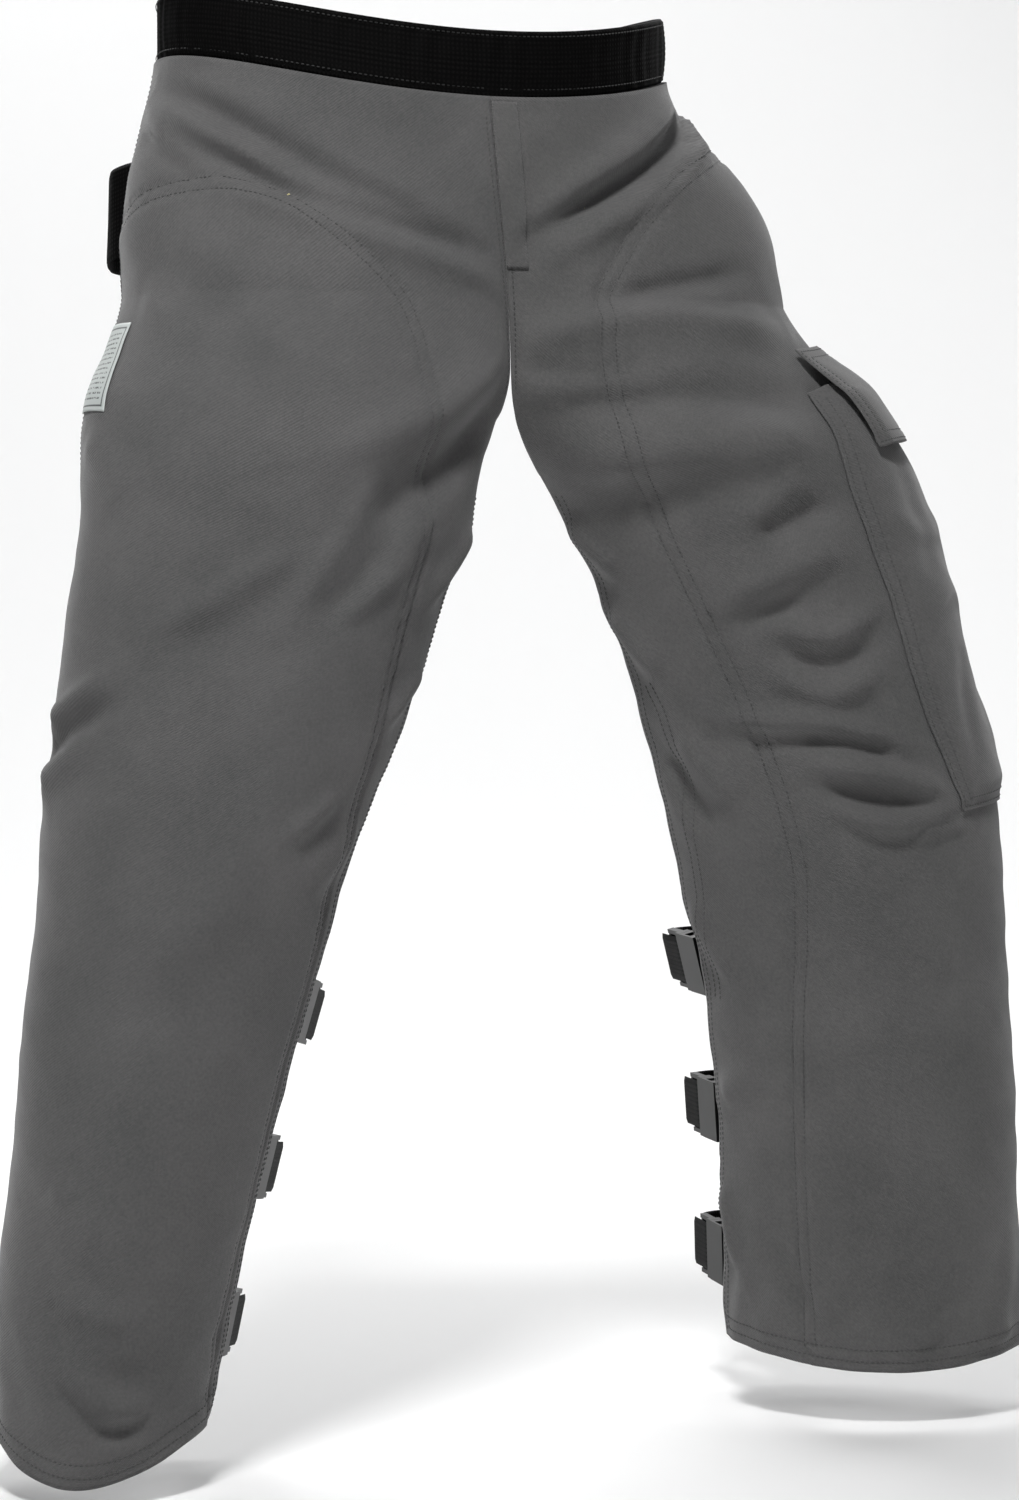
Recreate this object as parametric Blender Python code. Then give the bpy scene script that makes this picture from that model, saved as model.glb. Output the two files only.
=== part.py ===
"""Chainsaw chaps, closed as worn: a waistband, two wrap-round leg panels and buckled straps.

Units are metres and +Z is up. The origin is the centre of the waist opening, level with the highest
point of the waistband's top edge. The front faces -Y and the wearer's left leg is on +X.
"""

import math

import bmesh
import bpy
import numpy as np
from mathutils import Matrix, Vector

# Driving dimensions
CLOTH = 0.0012            # woven outer shell and lining
PAD = 0.0048              # stack of cut-resistant layers
GAP = 0.0003              # air between neighbouring pieces
WEB = 0.0016              # webbing thickness
WEB_HALF = 0.0165         # half the webbing's width
BAND_HEIGHT = 0.042
BAND_THICK = 0.0030
BAND_DIP = 0.014          # half the dip of the waistband at front and back
BAND_WRAP = 118.0         # degrees from the centre front to each end of the waistband
PANEL_WRAP = 112.0        # degrees from the centre front to each panel's outer edge at the waist
CROTCH = 0.2437           # depth of the front seam below the origin
HEM = 0.890
COLUMNS = 13
ROWS = 26
STRAP_ROWS = (17, 20, 23)  # grid rows that the calf straps start at
POCKET_DEPTH = 0.014
POCKET_BACK = 0.0013
STACK_GAP = 0.0008        # between the curved layers of the pocket's closure
SEAT_FLARE = 30  # degrees that the seat strap turns outwards where it leaves a panel

# Stations down each leg: (depth below the origin, value). Lengths in metres, angles in degrees.
# waist: half width of the pelvis. x, y: centre. a, b: half width and half depth.
# turn: where the leg faces. inner, outer: how far the panel wraps round from there.
LEFT_LEG = {
    "waist": [(0, 0.180), (0.05, 0.186), (0.09, 0.198), (0.14, 0.228), (0.20, 0.244), (0.24, 0.250)],
    "x": [(0.20, 0.140), (0.27, 0.175), (0.335, 0.196), (0.40, 0.222), (0.465, 0.243), (0.53, 0.262),
          (0.60, 0.272), (0.665, 0.283), (0.795, 0.291), (0.93, 0.297)],
    "a": [(0.20, 0.130), (0.27, 0.130), (0.335, 0.128), (0.40, 0.121), (0.465, 0.115), (0.53, 0.1135),
          (0.60, 0.109), (0.665, 0.103), (0.795, 0.101), (0.93, 0.103)],
    "b": [(0.20, 0.090), (0.27, 0.090), (0.45, 0.088), (0.70, 0.080), (0.93, 0.085)],
    "hem_drop": 0.016,
}
RIGHT_LEG = {
    "waist": [(0, 0.171), (0.05, 0.176), (0.10, 0.188), (0.16, 0.196), (0.24, 0.192)],
    "x": [(0.20, 0.100), (0.27, 0.130), (0.335, 0.133), (0.40, 0.152), (0.465, 0.172), (0.53, 0.192),
          (0.60, 0.209), (0.73, 0.238), (0.795, 0.250), (0.86, 0.261), (0.93, 0.270)],
    "a": [(0.20, 0.122), (0.27, 0.125), (0.335, 0.126), (0.40, 0.119), (0.465, 0.111), (0.53, 0.102),
          (0.60, 0.092), (0.73, 0.081), (0.795, 0.076), (0.86, 0.071), (0.93, 0.068)],
    "b": [(0.20, 0.090), (0.27, 0.090), (0.45, 0.088), (0.70, 0.080), (0.93, 0.080)],
    "hem_drop": 0.042,
}
BOTH_LEGS = {
    "waist_depth": [(0, 0.120), (0.08, 0.124), (0.24, 0.128)],
    "y": [(0.20, -0.050), (0.27, -0.077), (0.40, -0.095), (0.60, -0.110), (0.93, -0.115)],
    "turn": [(0.20, 0), (0.35, -8), (0.60, -24), (0.93, -27)],
    "inner": [(0.20, 75), (0.30, 80), (0.50, 81), (0.93, 82)],
    "outer": [(0.0, 112), (0.93, 112)],
}
LEGS = {"left": (1, LEFT_LEG), "right": (-1, RIGHT_LEG)}

# name: colour, roughness, metallic
MATERIALS = {
    "shell_canvas": ((0.083, 0.082, 0.082, 1), 0.85, 0.0),
    "lining_mesh": ((0.028, 0.028, 0.030, 1), 0.90, 0.0),
    "pad_batting": ((0.60, 0.52, 0.22, 1), 0.95, 0.0),
    "black_webbing": ((0.006, 0.006, 0.006, 1), 0.70, 0.0),
    "buckle_acetal": ((0.008, 0.008, 0.008, 1), 0.35, 0.0),
    "hook_loop_tape": ((0.010, 0.010, 0.010, 1), 0.95, 0.0),
    "label_satin": ((0.48, 0.52, 0.50, 1), 0.55, 0.0),
}


def clear_scene():
    for obj in list(bpy.data.objects):
        bpy.data.objects.remove(obj, do_unlink=True)


def make_materials():
    made = {}
    for name, (colour, roughness, metallic) in MATERIALS.items():
        material = bpy.data.materials.new(name)
        material.use_nodes = True
        shader = material.node_tree.nodes["Principled BSDF"]
        shader.inputs["Base Color"].default_value = colour
        shader.inputs["Roughness"].default_value = roughness
        shader.inputs["Metallic"].default_value = metallic
        made[name] = material
    return made


def new_object(name, mesh, material):
    obj = bpy.data.objects.new(name, mesh)
    bpy.context.collection.objects.link(obj)
    if not mesh.materials:
        mesh.materials.append(material)
    return obj


def mesh_from(name, points, faces):
    """A mesh of the points and faces, with its faces turned outwards."""
    mesh = bpy.data.meshes.new(name)
    mesh.from_pydata([tuple(p) for p in points], [], [tuple(f) for f in faces])
    shape = bmesh.new()
    shape.from_mesh(mesh)
    bmesh.ops.recalc_face_normals(shape, faces=shape.faces)
    shape.to_mesh(mesh)
    shape.free()
    return mesh


def smooth_step(low, high, value):
    k = np.clip((value - low) / (high - low), 0, 1)
    return k * k * (3 - 2 * k)


def along(stations, depth):
    """The stations' value at each depth, on a cubic curve that never overshoots them."""
    x, y = np.array(stations, float).T
    step = np.diff(x)
    slope = np.diff(y) / step
    tangent = np.zeros_like(y)
    tangent[0], tangent[-1] = slope[0], slope[-1]
    product = slope[:-1] * slope[1:]
    total = slope[:-1] + slope[1:]
    tangent[1:-1] = np.where(product > 0, 2 * product / np.where(product > 0, total, 1), 0)
    i = np.clip(np.searchsorted(x, depth) - 1, 0, len(step) - 1)
    s = np.clip((depth - x[i]) / step[i], 0, 1)
    return (
        (2 * s**3 - 3 * s**2 + 1) * y[i]
        + (s**3 - 2 * s**2 + s) * step[i] * tangent[i]
        + (3 * s**2 - 2 * s**3) * y[i + 1]
        + (s**3 - s**2) * step[i] * tangent[i + 1]
    )


def band_edge(angle):
    """Height of the waistband's top edge at an angle from the centre front, in radians."""
    return -BAND_DIP * (1 + np.cos(2 * angle))


def leg_surface(leg, u, t):
    """Outer surface of a leg panel. u runs from the inner edge to the outer one, t from waist to hem."""
    side, own = LEGS[leg]
    waist_angle = u * math.radians(PANEL_WRAP)
    top = band_edge(waist_angle) - BAND_HEIGHT - GAP
    hem = -HEM - own["hem_drop"] * np.exp(-(((u - 0.45) / 0.33) ** 2))
    z = top + (hem - top) * t
    depth = -z
    share = smooth_step(0.05, 0.32, depth)
    pelvis_depth = np.minimum(depth, 0.24)
    pelvis_x = side * along(own["waist"], pelvis_depth) * np.sin(waist_angle)
    pelvis_y = -along(BOTH_LEGS["waist_depth"], pelvis_depth) * np.cos(waist_angle)
    turn = np.radians(along(BOTH_LEGS["turn"], depth))
    inner = np.radians(along(BOTH_LEGS["inner"], depth))
    outer = np.radians(along(BOTH_LEGS["outer"], depth))
    angle = -inner + (inner + outer) * u
    ahead = along(own["b"], depth) * np.cos(angle)
    aside = side * along(own["a"], depth) * np.sin(angle)
    leg_x = side * along(own["x"], depth) + np.sin(turn) * ahead + np.cos(turn) * aside
    leg_y = along(BOTH_LEGS["y"], depth) - np.cos(turn) * ahead + np.sin(turn) * aside
    x = pelvis_x + (leg_x - pelvis_x) * share
    y = pelvis_y + (leg_y - pelvis_y) * share
    return x, y, z


def on_leg(leg, u, t):
    """Points of a panel's surface, with its front edge held on the centre seam as far as the crotch."""
    u, t = np.broadcast_arrays(np.asarray(u, float), np.asarray(t, float))
    side, _ = LEGS[leg]
    x, y, z = leg_surface(leg, u, t)
    edge_x, edge_y, edge_z = leg_surface(leg, np.zeros_like(t), t)
    edge_depth = -edge_z
    held = 1 - smooth_step(CROTCH, CROTCH + 0.10, -z)
    fade = (1 - u) ** 3 * held
    seam_x = side * GAP + 0.012 * smooth_step(0.03, CROTCH, edge_depth)
    seam_y = -0.120 - 0.008 * smooth_step(0, CROTCH, edge_depth)
    return np.stack([x + (seam_x - edge_x) * fade, y + (seam_y - edge_y) * fade, z], -1)


def outward(leg, u, t):
    """Unit normals of a panel's surface, away from the leg."""
    step = 1e-3
    across = on_leg(leg, np.minimum(u + step, 1), t) - on_leg(leg, np.maximum(u - step, 0), t)
    down = on_leg(leg, u, np.minimum(t + step, 1)) - on_leg(leg, u, np.maximum(t - step, 0))
    normal = np.cross(down, across) * LEGS[leg][0]
    return normal / np.linalg.norm(normal, axis=-1, keepdims=True)


def layer(leg, u, t, offset):
    """The panel's surface moved outwards by offset, over a grid of u and t."""
    t, u = np.meshgrid(t, u, indexing="ij")
    normal = outward(leg, u, t)
    if np.any(u == 0):
        # Beside the centre seam the layers stay on their own side of it.
        held = 1 - smooth_step(CROTCH - 0.02, CROTCH + 0.03, -on_leg(leg, u, t)[..., 2])
        normal[..., 0] *= 1 - held * (u == 0)
    return on_leg(leg, u, t) + normal * np.asarray(offset)[..., None]


def block(outer, inner):
    """Points and faces of the closed solid between two grids. Every layer splits its cells the same way."""
    rows, columns = outer.shape[:2]
    count = rows * columns
    number = np.arange(count).reshape(rows, columns)
    a, b, c, d = (corner.ravel() for corner in
                  (number[:-1, :-1], number[1:, :-1], number[1:, 1:], number[:-1, 1:]))
    cells = np.concatenate([np.stack([a, b, c], -1), np.stack([a, c, d], -1)])
    rim = np.concatenate([number[0, :-1], number[:-1, -1], number[-1, :0:-1], number[:0:-1, 0]])
    after = np.roll(rim, -1)
    walls = np.concatenate([np.stack([rim, after, after + count], -1),
                            np.stack([rim, after + count, rim + count], -1)])
    points = np.concatenate([outer.reshape(-1, 3), inner.reshape(-1, 3)])
    return points, np.concatenate([cells, cells[:, ::-1] + count, walls])


def panel_piece(name, leg, columns, rows, outer_offset, inner_offset, material):
    """One layer of a leg panel over the stated columns and rows of the panel's grid."""
    u = np.linspace(0, 1, COLUMNS)[columns[0] : columns[1] + 1]
    t = np.linspace(0, 1, ROWS)[rows[0] : rows[1] + 1]
    shape = block(layer(leg, u, t, outer_offset), layer(leg, u, t, inner_offset))
    return new_object(name, mesh_from(name, *shape), material)


def patch(name, leg, u_span, t_span, cells, low, high, material):
    """A small piece lying on a panel: u and t spans, cells each way, and its two offsets."""
    u = np.linspace(*u_span, cells[0] + 1)
    t = np.linspace(*t_span, cells[1] + 1)
    shape = block(layer(leg, u, t, high), layer(leg, u, t, low))
    return new_object(name, mesh_from(name, *shape), material)


def make_panels(materials):
    pad_outer = -CLOTH - GAP
    pad_inner = pad_outer - PAD
    lining_outer = pad_inner - GAP
    last_column, last_row = COLUMNS - 1, ROWS - 1
    for leg in LEGS:
        panel_piece(f"leg_shell_{leg}", leg, (0, last_column), (0, last_row),
                    0.0, -CLOTH, materials["shell_canvas"])
        panel_piece(f"cut_pad_{leg}", leg, (1, last_column - 1), (2, last_row - 1),
                    pad_outer, pad_inner, materials["pad_batting"])
        panel_piece(f"leg_lining_{leg}", leg, (0, last_column), (1, last_row),
                    lining_outer, lining_outer - CLOTH * 0.7, materials["lining_mesh"])
    return lining_outer - CLOTH * 0.7


def make_fly(materials):
    """The placket folded over the centre seam, sewn to the left panel."""
    spacing = 1 / (ROWS - 1)
    patch("fly_placket", "left", (0, 1 / (COLUMNS - 1)), (0.004, 6 * spacing), (1, 6),
          GAP, GAP + CLOTH, materials["shell_canvas"])


def make_label(materials):
    patch("care_label", "right", (0.815, 0.965), (0.205, 0.272), (4, 4), 0.0011, 0.0016,
          materials["label_satin"])


def make_pocket(materials):
    """Bellows pocket on the left thigh, its flap and the two halves of its touch tape."""
    front, back, top, bottom = 0.575, 0.945, 0.245, 0.574
    u = np.linspace(front, back, 11)
    t = np.linspace(top, bottom, 12)
    edge_u = np.minimum(u - front, back - u) / 0.05
    edge_t = (bottom - t) / 0.05
    room = np.clip(np.minimum.outer(edge_t, edge_u), 0, 1)
    room = np.sqrt(1 - (1 - room) ** 2)
    outer = layer("left", u, t, GAP + 0.003 + (POCKET_DEPTH - 0.003) * room)
    inner = layer("left", u, t, POCKET_BACK)
    pocket = new_object("cargo_pocket", mesh_from("cargo_pocket", *block(outer, inner)),
                        materials["shell_canvas"])
    cut_u = np.linspace(front + 0.037, back - 0.037, 9)
    cut_t = np.linspace(top - 0.02, bottom - 0.03, 10)
    hollow = block(layer("left", cut_u, cut_t, GAP + POCKET_DEPTH - CLOTH),
                   layer("left", cut_u, cut_t, POCKET_BACK + CLOTH))
    cutter = new_object("pocket_hollow", mesh_from("pocket_hollow", *hollow), materials["shell_canvas"])
    cutter.hide_render = True
    cutter.display_type = "WIRE"
    cut = pocket.modifiers.new("Hollow", "BOOLEAN")
    cut.operation = "DIFFERENCE"
    cut.solver = "EXACT"
    cut.object = cutter

    tape_u = (0.668, 0.852)
    tape_t = (0.268, 0.286)
    loop_low = POCKET_DEPTH + GAP + STACK_GAP
    patch("pocket_loop_tape", "left", tape_u, tape_t, (5, 1), loop_low, loop_low + 0.0010,
          materials["hook_loop_tape"])
    pivot = flap_hinge()
    hook_low = loop_low + 0.0010 + STACK_GAP
    flap_low = hook_low + 0.0010 + STACK_GAP
    hook = patch("flap_hook_tape", "left", tape_u, tape_t, (5, 1), hook_low, hook_low + 0.0010,
                 materials["hook_loop_tape"])
    flap_t = np.linspace(0.216, 0.296, 6)
    flap_u = np.linspace(front - 0.004, back + 0.004, 11)
    rise = smooth_step(0.205, 0.252, flap_t)[:, None]
    low = 0.0022 + (flap_low - 0.0022) * rise + 0 * flap_u
    flap_shape = block(layer("left", flap_u, flap_t, low + CLOTH), layer("left", flap_u, flap_t, low))
    flap = new_object("cargo_flap", mesh_from("cargo_flap", *flap_shape), materials["shell_canvas"])
    for moving in (hook, flap):
        moving.data.transform(Matrix.Translation(-Vector(pivot)))
        moving.location = Vector(pivot)


def flap_hinge():
    """Middle of the line that the pocket flap turns about, which runs across the leg there."""
    middle_u, top_t = np.array(0.76), np.array(0.216)
    return on_leg("left", middle_u, top_t) + outward("left", middle_u, top_t) * 0.0035


def box_mesh(low, high):
    shape = bmesh.new()
    bmesh.ops.create_cube(shape, size=1)
    for vertex in shape.verts:
        vertex.co = Vector([(a + b) / 2 + c * (b - a) for a, b, c in zip(low, high, vertex.co)])
    mesh = bpy.data.meshes.new("box")
    shape.to_mesh(mesh)
    shape.free()
    return mesh


def carved(name, base, steps, material):
    """A mesh of the base box after its joins and cuts, given in millimetres as (operation, low, high)."""
    scale = 0.001
    start = new_object(name + "_base", box_mesh(*[[v * scale for v in corner] for corner in base]), material)
    helpers = [start]
    for operation, low, high in steps:
        helper = new_object(name + "_helper", box_mesh([v * scale for v in low], [v * scale for v in high]),
                            material)
        helpers.append(helper)
        modifier = start.modifiers.new(operation, "BOOLEAN")
        modifier.operation = operation
        modifier.solver = "EXACT"
        modifier.object = helper
    bpy.context.view_layer.update()
    graph = bpy.context.evaluated_depsgraph_get()
    mesh = bpy.data.meshes.new_from_object(start.evaluated_get(graph))
    mesh.name = name
    for helper in helpers:
        bpy.data.objects.remove(helper, do_unlink=True)
    return mesh


def socket_mesh(material):
    """Female half. x runs along the strap from the panel's edge, y is outwards, z across the webbing."""
    return carved("socket", ((21, -5, -20.5), (50, 5, 20.5)), [
        ("UNION", (14, -2.2, 17.5), (22, 2.2, 20.5)),
        ("UNION", (14, -2.2, -20.5), (22, 2.2, -17.5)),
        ("UNION", (13.9, -1.4, -18), (17, 1.4, 18)),
        ("DIFFERENCE", (24, -3.4, -16), (51, 3.4, 16)),
        ("DIFFERENCE", (31, -3.1, -22), (42.5, 3.1, 22)),
    ], material)


def plug_mesh(material):
    """Male half: base, guide tongue, two sprung arms with catches, and a ladder for the webbing."""
    steps = [("UNION", (27, -2.2, -3), (51, 2.2, 3))]
    for low, high in ((1, 1), (-1, -1)):
        steps += [
            ("UNION", *span((30, 51), (-2.6, 2.6), (low * 10, high * 13.5))),
            ("UNION", *span((31.6, 41), (-2.7, 2.7), (low * 11, high * 15.6))),
            ("UNION", *span((57, 80), (-2.2, 2.2), (low * 17.5, high * 20.4))),
        ]
    steps += [
        ("UNION", (65, -1.4, -18), (68, 1.4, 18)),
        ("UNION", (77, -1.4, -18), (80.1, 1.4, 18)),
    ]
    return carved("plug", ((50.4, -4.6, -20.5), (58, 4.6, 20.5)), steps, material)


def span(x, y, z):
    return (x[0], y[0], min(z)), (x[1], y[1], max(z))


def ribbon(name, centres, widths, thickness, half_width, material):
    """A flat band along a path: centre points, unit width directions, thickness and half width."""
    centres = np.array(centres, float)
    widths = np.array(widths, float)
    forward = np.gradient(centres, axis=0)
    forward /= np.linalg.norm(forward, axis=1, keepdims=True)
    lift = np.cross(forward, widths)
    lift /= np.linalg.norm(lift, axis=1, keepdims=True)
    step = np.diff(centres, axis=0)
    step /= np.linalg.norm(step, axis=1, keepdims=True)
    half_cosine = np.ones(len(centres))
    half_cosine[1:-1] = np.sqrt(np.clip((1 + np.sum(step[:-1] * step[1:], axis=1)) / 2, 0.3, 1))
    lift *= (thickness / 2 / half_cosine)[:, None]
    across = widths * half_width
    ring = np.stack([centres + lift + across, centres + lift - across,
                     centres - lift - across, centres - lift + across], 1)
    count = len(centres)
    number = np.arange(count * 4).reshape(count, 4)
    after = np.roll(number, -1, axis=1)
    sides = np.stack([number[:-1], after[:-1], after[1:], number[1:]], -1).reshape(-1, 4)
    faces = [tuple(f) for f in sides] + [tuple(number[0][::-1]), tuple(number[-1])]
    return new_object(name, mesh_from(name, ring.reshape(-1, 3), faces), material)


def hermite(start, start_way, end, end_way, count):
    """Points from start to end on a cubic that leaves and arrives along the stated directions."""
    reach = np.linalg.norm(end - start) * 1.15
    s = np.linspace(0, 1, count)[:, None]
    return (
        (2 * s**3 - 3 * s**2 + 1) * start + (s**3 - 2 * s**2 + s) * start_way * reach
        + (3 * s**2 - 2 * s**3) * end + (s**3 - s**2) * end_way * reach
    )


def panel_end(leg, row, at_inner, offset):
    """Where a strap leaves a panel: overlap point, edge point, way on, way across and way out."""
    t = (row + 0.5) / (ROWS - 1)
    step = 1 / (COLUMNS - 1)
    edge, back = (0.0, step) if at_inner else (1.0, 1 - step)
    points = layer(leg, np.array(sorted([edge, back])), np.array([t]), offset)[0]
    edge_point, overlap = (points[0], points[1]) if at_inner else (points[1], points[0])
    above = on_leg(leg, edge, t - 0.02)
    below = on_leg(leg, edge, t + 0.02)
    across = (above - below) / np.linalg.norm(above - below)
    way = edge_point - overlap
    way -= across * np.dot(way, across)
    way /= np.linalg.norm(way)
    out = outward(leg, np.array(edge), np.array(t))
    out -= across * np.dot(out, across)
    out -= way * np.dot(out, way)
    out /= np.linalg.norm(out)
    return overlap, edge_point, way, across, out


def local_points(frame, pairs):
    origin, way, out, _ = frame
    return [origin + way * s * 0.001 + out * n * 0.001 for s, n in pairs]


def make_strap(tag, start, end, frame, meshes, materials, start_count):
    """One buckled strap: two lengths of webbing, a socket and a plug. start and end are panel ends."""
    origin, way, out, across = frame
    overlap, edge_point, edge_way, edge_across, _ = start
    lead = [overlap, edge_point]
    if start_count:
        lead += list(hermite(edge_point, edge_way, local_points(frame, [(2, 0)])[0], way, start_count))[1:]
    short_path = lead + local_points(frame, [(6, 0.8), (9.5, 2.5), (17.6, 2.5), (18.9, 1.2), (18.9, -1.2),
                                             (17.6, -2.5), (8, -2.5)])
    blend_count = len(lead)
    short_across = [mixed(edge_across, across, i / (blend_count - 1)) if start_count else across
                    for i in range(blend_count)]
    short_across += [across] * (len(short_path) - blend_count)
    ribbon(f"webbing_short_{tag}", short_path, short_across, WEB, WEB_HALF, materials["black_webbing"])

    far_overlap, far_edge, far_way, far_across, _ = end
    long_path = local_points(frame, [(92, 2.5), (77, 2.5), (63.6, 2.5), (62.2, 1.2), (62.2, -1.2),
                                     (63.6, -2.5), (77, -2.5), (86, -2.5)])
    bend = hermite(long_path[-1], way, far_edge, -far_way, 12)[1:]
    long_path = long_path + list(bend) + [far_overlap]
    turns = len(long_path) - 8
    long_across = [across] * 8 + [mixed(across, far_across, (i + 1) / turns) for i in range(turns)]
    ribbon(f"webbing_long_{tag}", long_path, square_to(long_path, long_across), WEB, WEB_HALF,
           materials["black_webbing"])
    place = Matrix((
        (way[0], out[0], across[0], origin[0]),
        (way[1], out[1], across[1], origin[1]),
        (way[2], out[2], across[2], origin[2]),
        (0, 0, 0, 1),
    ))
    for kind in ("socket", "plug"):
        half = new_object(f"buckle_{kind}_{tag}", meshes[kind], materials["buckle_acetal"])
        half.matrix_world = place


def mixed(first, second, share):
    value = first * (1 - share) + second * share
    return value / np.linalg.norm(value)


def square_to(path, widths):
    """The width directions with the part along the path taken out."""
    forward = np.gradient(np.array(path), axis=0)
    forward /= np.linalg.norm(forward, axis=1, keepdims=True)
    widths = np.array(widths)
    widths = widths - forward * np.sum(widths * forward, axis=1, keepdims=True)
    return widths / np.linalg.norm(widths, axis=1, keepdims=True)


def rotated(vector, axis, degrees):
    turned = Matrix.Rotation(math.radians(degrees), 3, Vector(axis)) @ Vector(vector)
    return np.array(turned)


def make_leg_straps(inside, meshes, materials):
    """Three buckled straps round the back of each calf, sewn to the inner face of the panel."""
    offset = inside - 0.0024 - WEB / 2
    for leg in LEGS:
        for number, row in enumerate(STRAP_ROWS, 1):
            start = panel_end(leg, row, True, offset)
            end = panel_end(leg, row, False, offset)
            _, edge_point, way, across, out = start
            inward = rotated(way, np.cross(way, out), -6)
            out = np.array(Vector(np.cross(inward, across)).normalized())
            if np.dot(out, start[4]) < 0:
                out = -out
                across = across if np.dot(np.cross(inward, out), across) > 0 else -across
            frame = (edge_point, inward, out, np.cross(inward, out))
            make_strap(f"{leg}_{number}", start, end, frame, meshes, materials, 0)


def waist_point(angle, radius_offset, z_offset):
    """A point of the waist's oval at an angle from the centre front; + is the wearer's left."""
    side_width = 0.1755 + 0.0045 * math.tanh(6 * math.sin(angle))
    x = (side_width + radius_offset) * math.sin(angle)
    y = -(0.120 + radius_offset) * math.cos(angle)
    return np.array([x, y, float(band_edge(angle)) + z_offset])


def make_waist(meshes, materials):
    """The wide band round front and sides, and the belt webbing that closes it at the back."""
    angles = np.radians(np.linspace(-BAND_WRAP, BAND_WRAP, 31))
    grids = []
    for radius in (BAND_THICK / 2, -BAND_THICK / 2):
        grids.append(np.array([[waist_point(a, radius, z) for a in angles] for z in (0, -BAND_HEIGHT)]))
    new_object("waistband", mesh_from("waistband", *block(*grids)), materials["black_webbing"])

    inside = -BAND_THICK / 2 - 0.0008 - WEB / 2
    middle = -BAND_HEIGHT / 2
    up = np.array([0.0, 0.0, 1.0])
    ends = []
    for sign in (-1, 1):
        last, before = math.radians(sign * BAND_WRAP), math.radians(sign * (BAND_WRAP - 7.87))
        edge_point = waist_point(last, inside, middle)
        overlap = waist_point(before, inside, middle)
        way = (edge_point - overlap) / np.linalg.norm(edge_point - overlap)
        ends.append((overlap, edge_point, way, up, None))
    back = waist_point(math.pi, 0, middle)
    way, out = np.array([1.0, 0, 0]), np.array([0, 1.0, 0])
    frame = (back - way * 0.050, way, out, up)
    make_strap("waist", ends[0], ends[1], frame, meshes, materials, 6)


def make_seat_strap(materials):
    """Wide elastic across the back of the hips, which stands out a little where it leaves each panel."""
    offset = -0.0130 - WEB / 2
    ends = [panel_end(leg, 2, False, offset) for leg in ("right", "left")]
    start, end = ends
    top_back = np.array([0.012, 0.118, (start[1][2] + end[1][2]) / 2 - 0.004])
    way = np.array([1.0, 0, 0])
    up = np.array([0, 0, 1.0])
    clear = 0.0015
    leaving = rotated(start[2], up, SEAT_FLARE)
    arriving = -rotated(end[2], up, -SEAT_FLARE)
    first = hermite(start[1] + start[2] * clear, leaving, top_back, way, 9)
    second = hermite(top_back, way, end[1] + end[2] * clear, arriving, 9)[1:]
    path = list(first) + list(second)
    # Upright but for two short twists, where it follows the slope of the panels' edges.
    widths = [start[3], mixed(start[3], up, 0.5)] + [up] * (len(path) - 4) + [mixed(up, end[3], 0.5), end[3]]
    ribbon("seat_strap", path, widths, WEB, 0.032, materials["black_webbing"])


def main():
    clear_scene()
    materials = make_materials()
    meshes = {"socket": socket_mesh(materials["buckle_acetal"]), "plug": plug_mesh(materials["buckle_acetal"])}
    inside = make_panels(materials)
    make_fly(materials)
    make_label(materials)
    make_pocket(materials)
    make_waist(meshes, materials)
    make_seat_strap(materials)
    make_leg_straps(inside, meshes, materials)


main()
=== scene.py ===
import math

import bmesh
import bpy
import numpy as np
from mathutils import Matrix, Vector


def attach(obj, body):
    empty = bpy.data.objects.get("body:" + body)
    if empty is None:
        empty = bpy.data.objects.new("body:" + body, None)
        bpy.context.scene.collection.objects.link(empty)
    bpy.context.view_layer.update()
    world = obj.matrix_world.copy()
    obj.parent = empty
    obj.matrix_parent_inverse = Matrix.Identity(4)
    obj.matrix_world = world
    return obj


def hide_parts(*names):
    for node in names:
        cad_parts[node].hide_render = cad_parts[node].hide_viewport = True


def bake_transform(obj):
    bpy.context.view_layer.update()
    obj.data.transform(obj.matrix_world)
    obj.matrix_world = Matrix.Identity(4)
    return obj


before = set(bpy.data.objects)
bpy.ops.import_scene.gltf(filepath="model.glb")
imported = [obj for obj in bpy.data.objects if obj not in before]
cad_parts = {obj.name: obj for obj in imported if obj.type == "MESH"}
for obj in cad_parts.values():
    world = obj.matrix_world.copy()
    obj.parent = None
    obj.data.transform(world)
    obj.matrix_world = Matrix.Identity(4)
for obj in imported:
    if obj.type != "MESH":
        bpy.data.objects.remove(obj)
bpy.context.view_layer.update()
print("frame loaded:", len(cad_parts), "pieces")

# Cloth sizes in metres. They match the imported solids.
cloth = {"shell": 0.0012, "pad": 0.0048, "lining": 0.0009, "gap": 0.0003}
band = {"height": 0.042, "thick": 0.0030, "dip": 0.014, "wrap": 118.0, "reach": 0.0008}
panel = {"waistWrap": 112.0, "crotch": 0.2437, "hem": 0.890, "acrossLength": 0.335, "downLength": 0.860}
strap = {"rows": (17, 20, 23), "gridRows": 25, "gridColumns": 12, "halfWidth": 0.0165, "thick": 0.0016}

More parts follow.
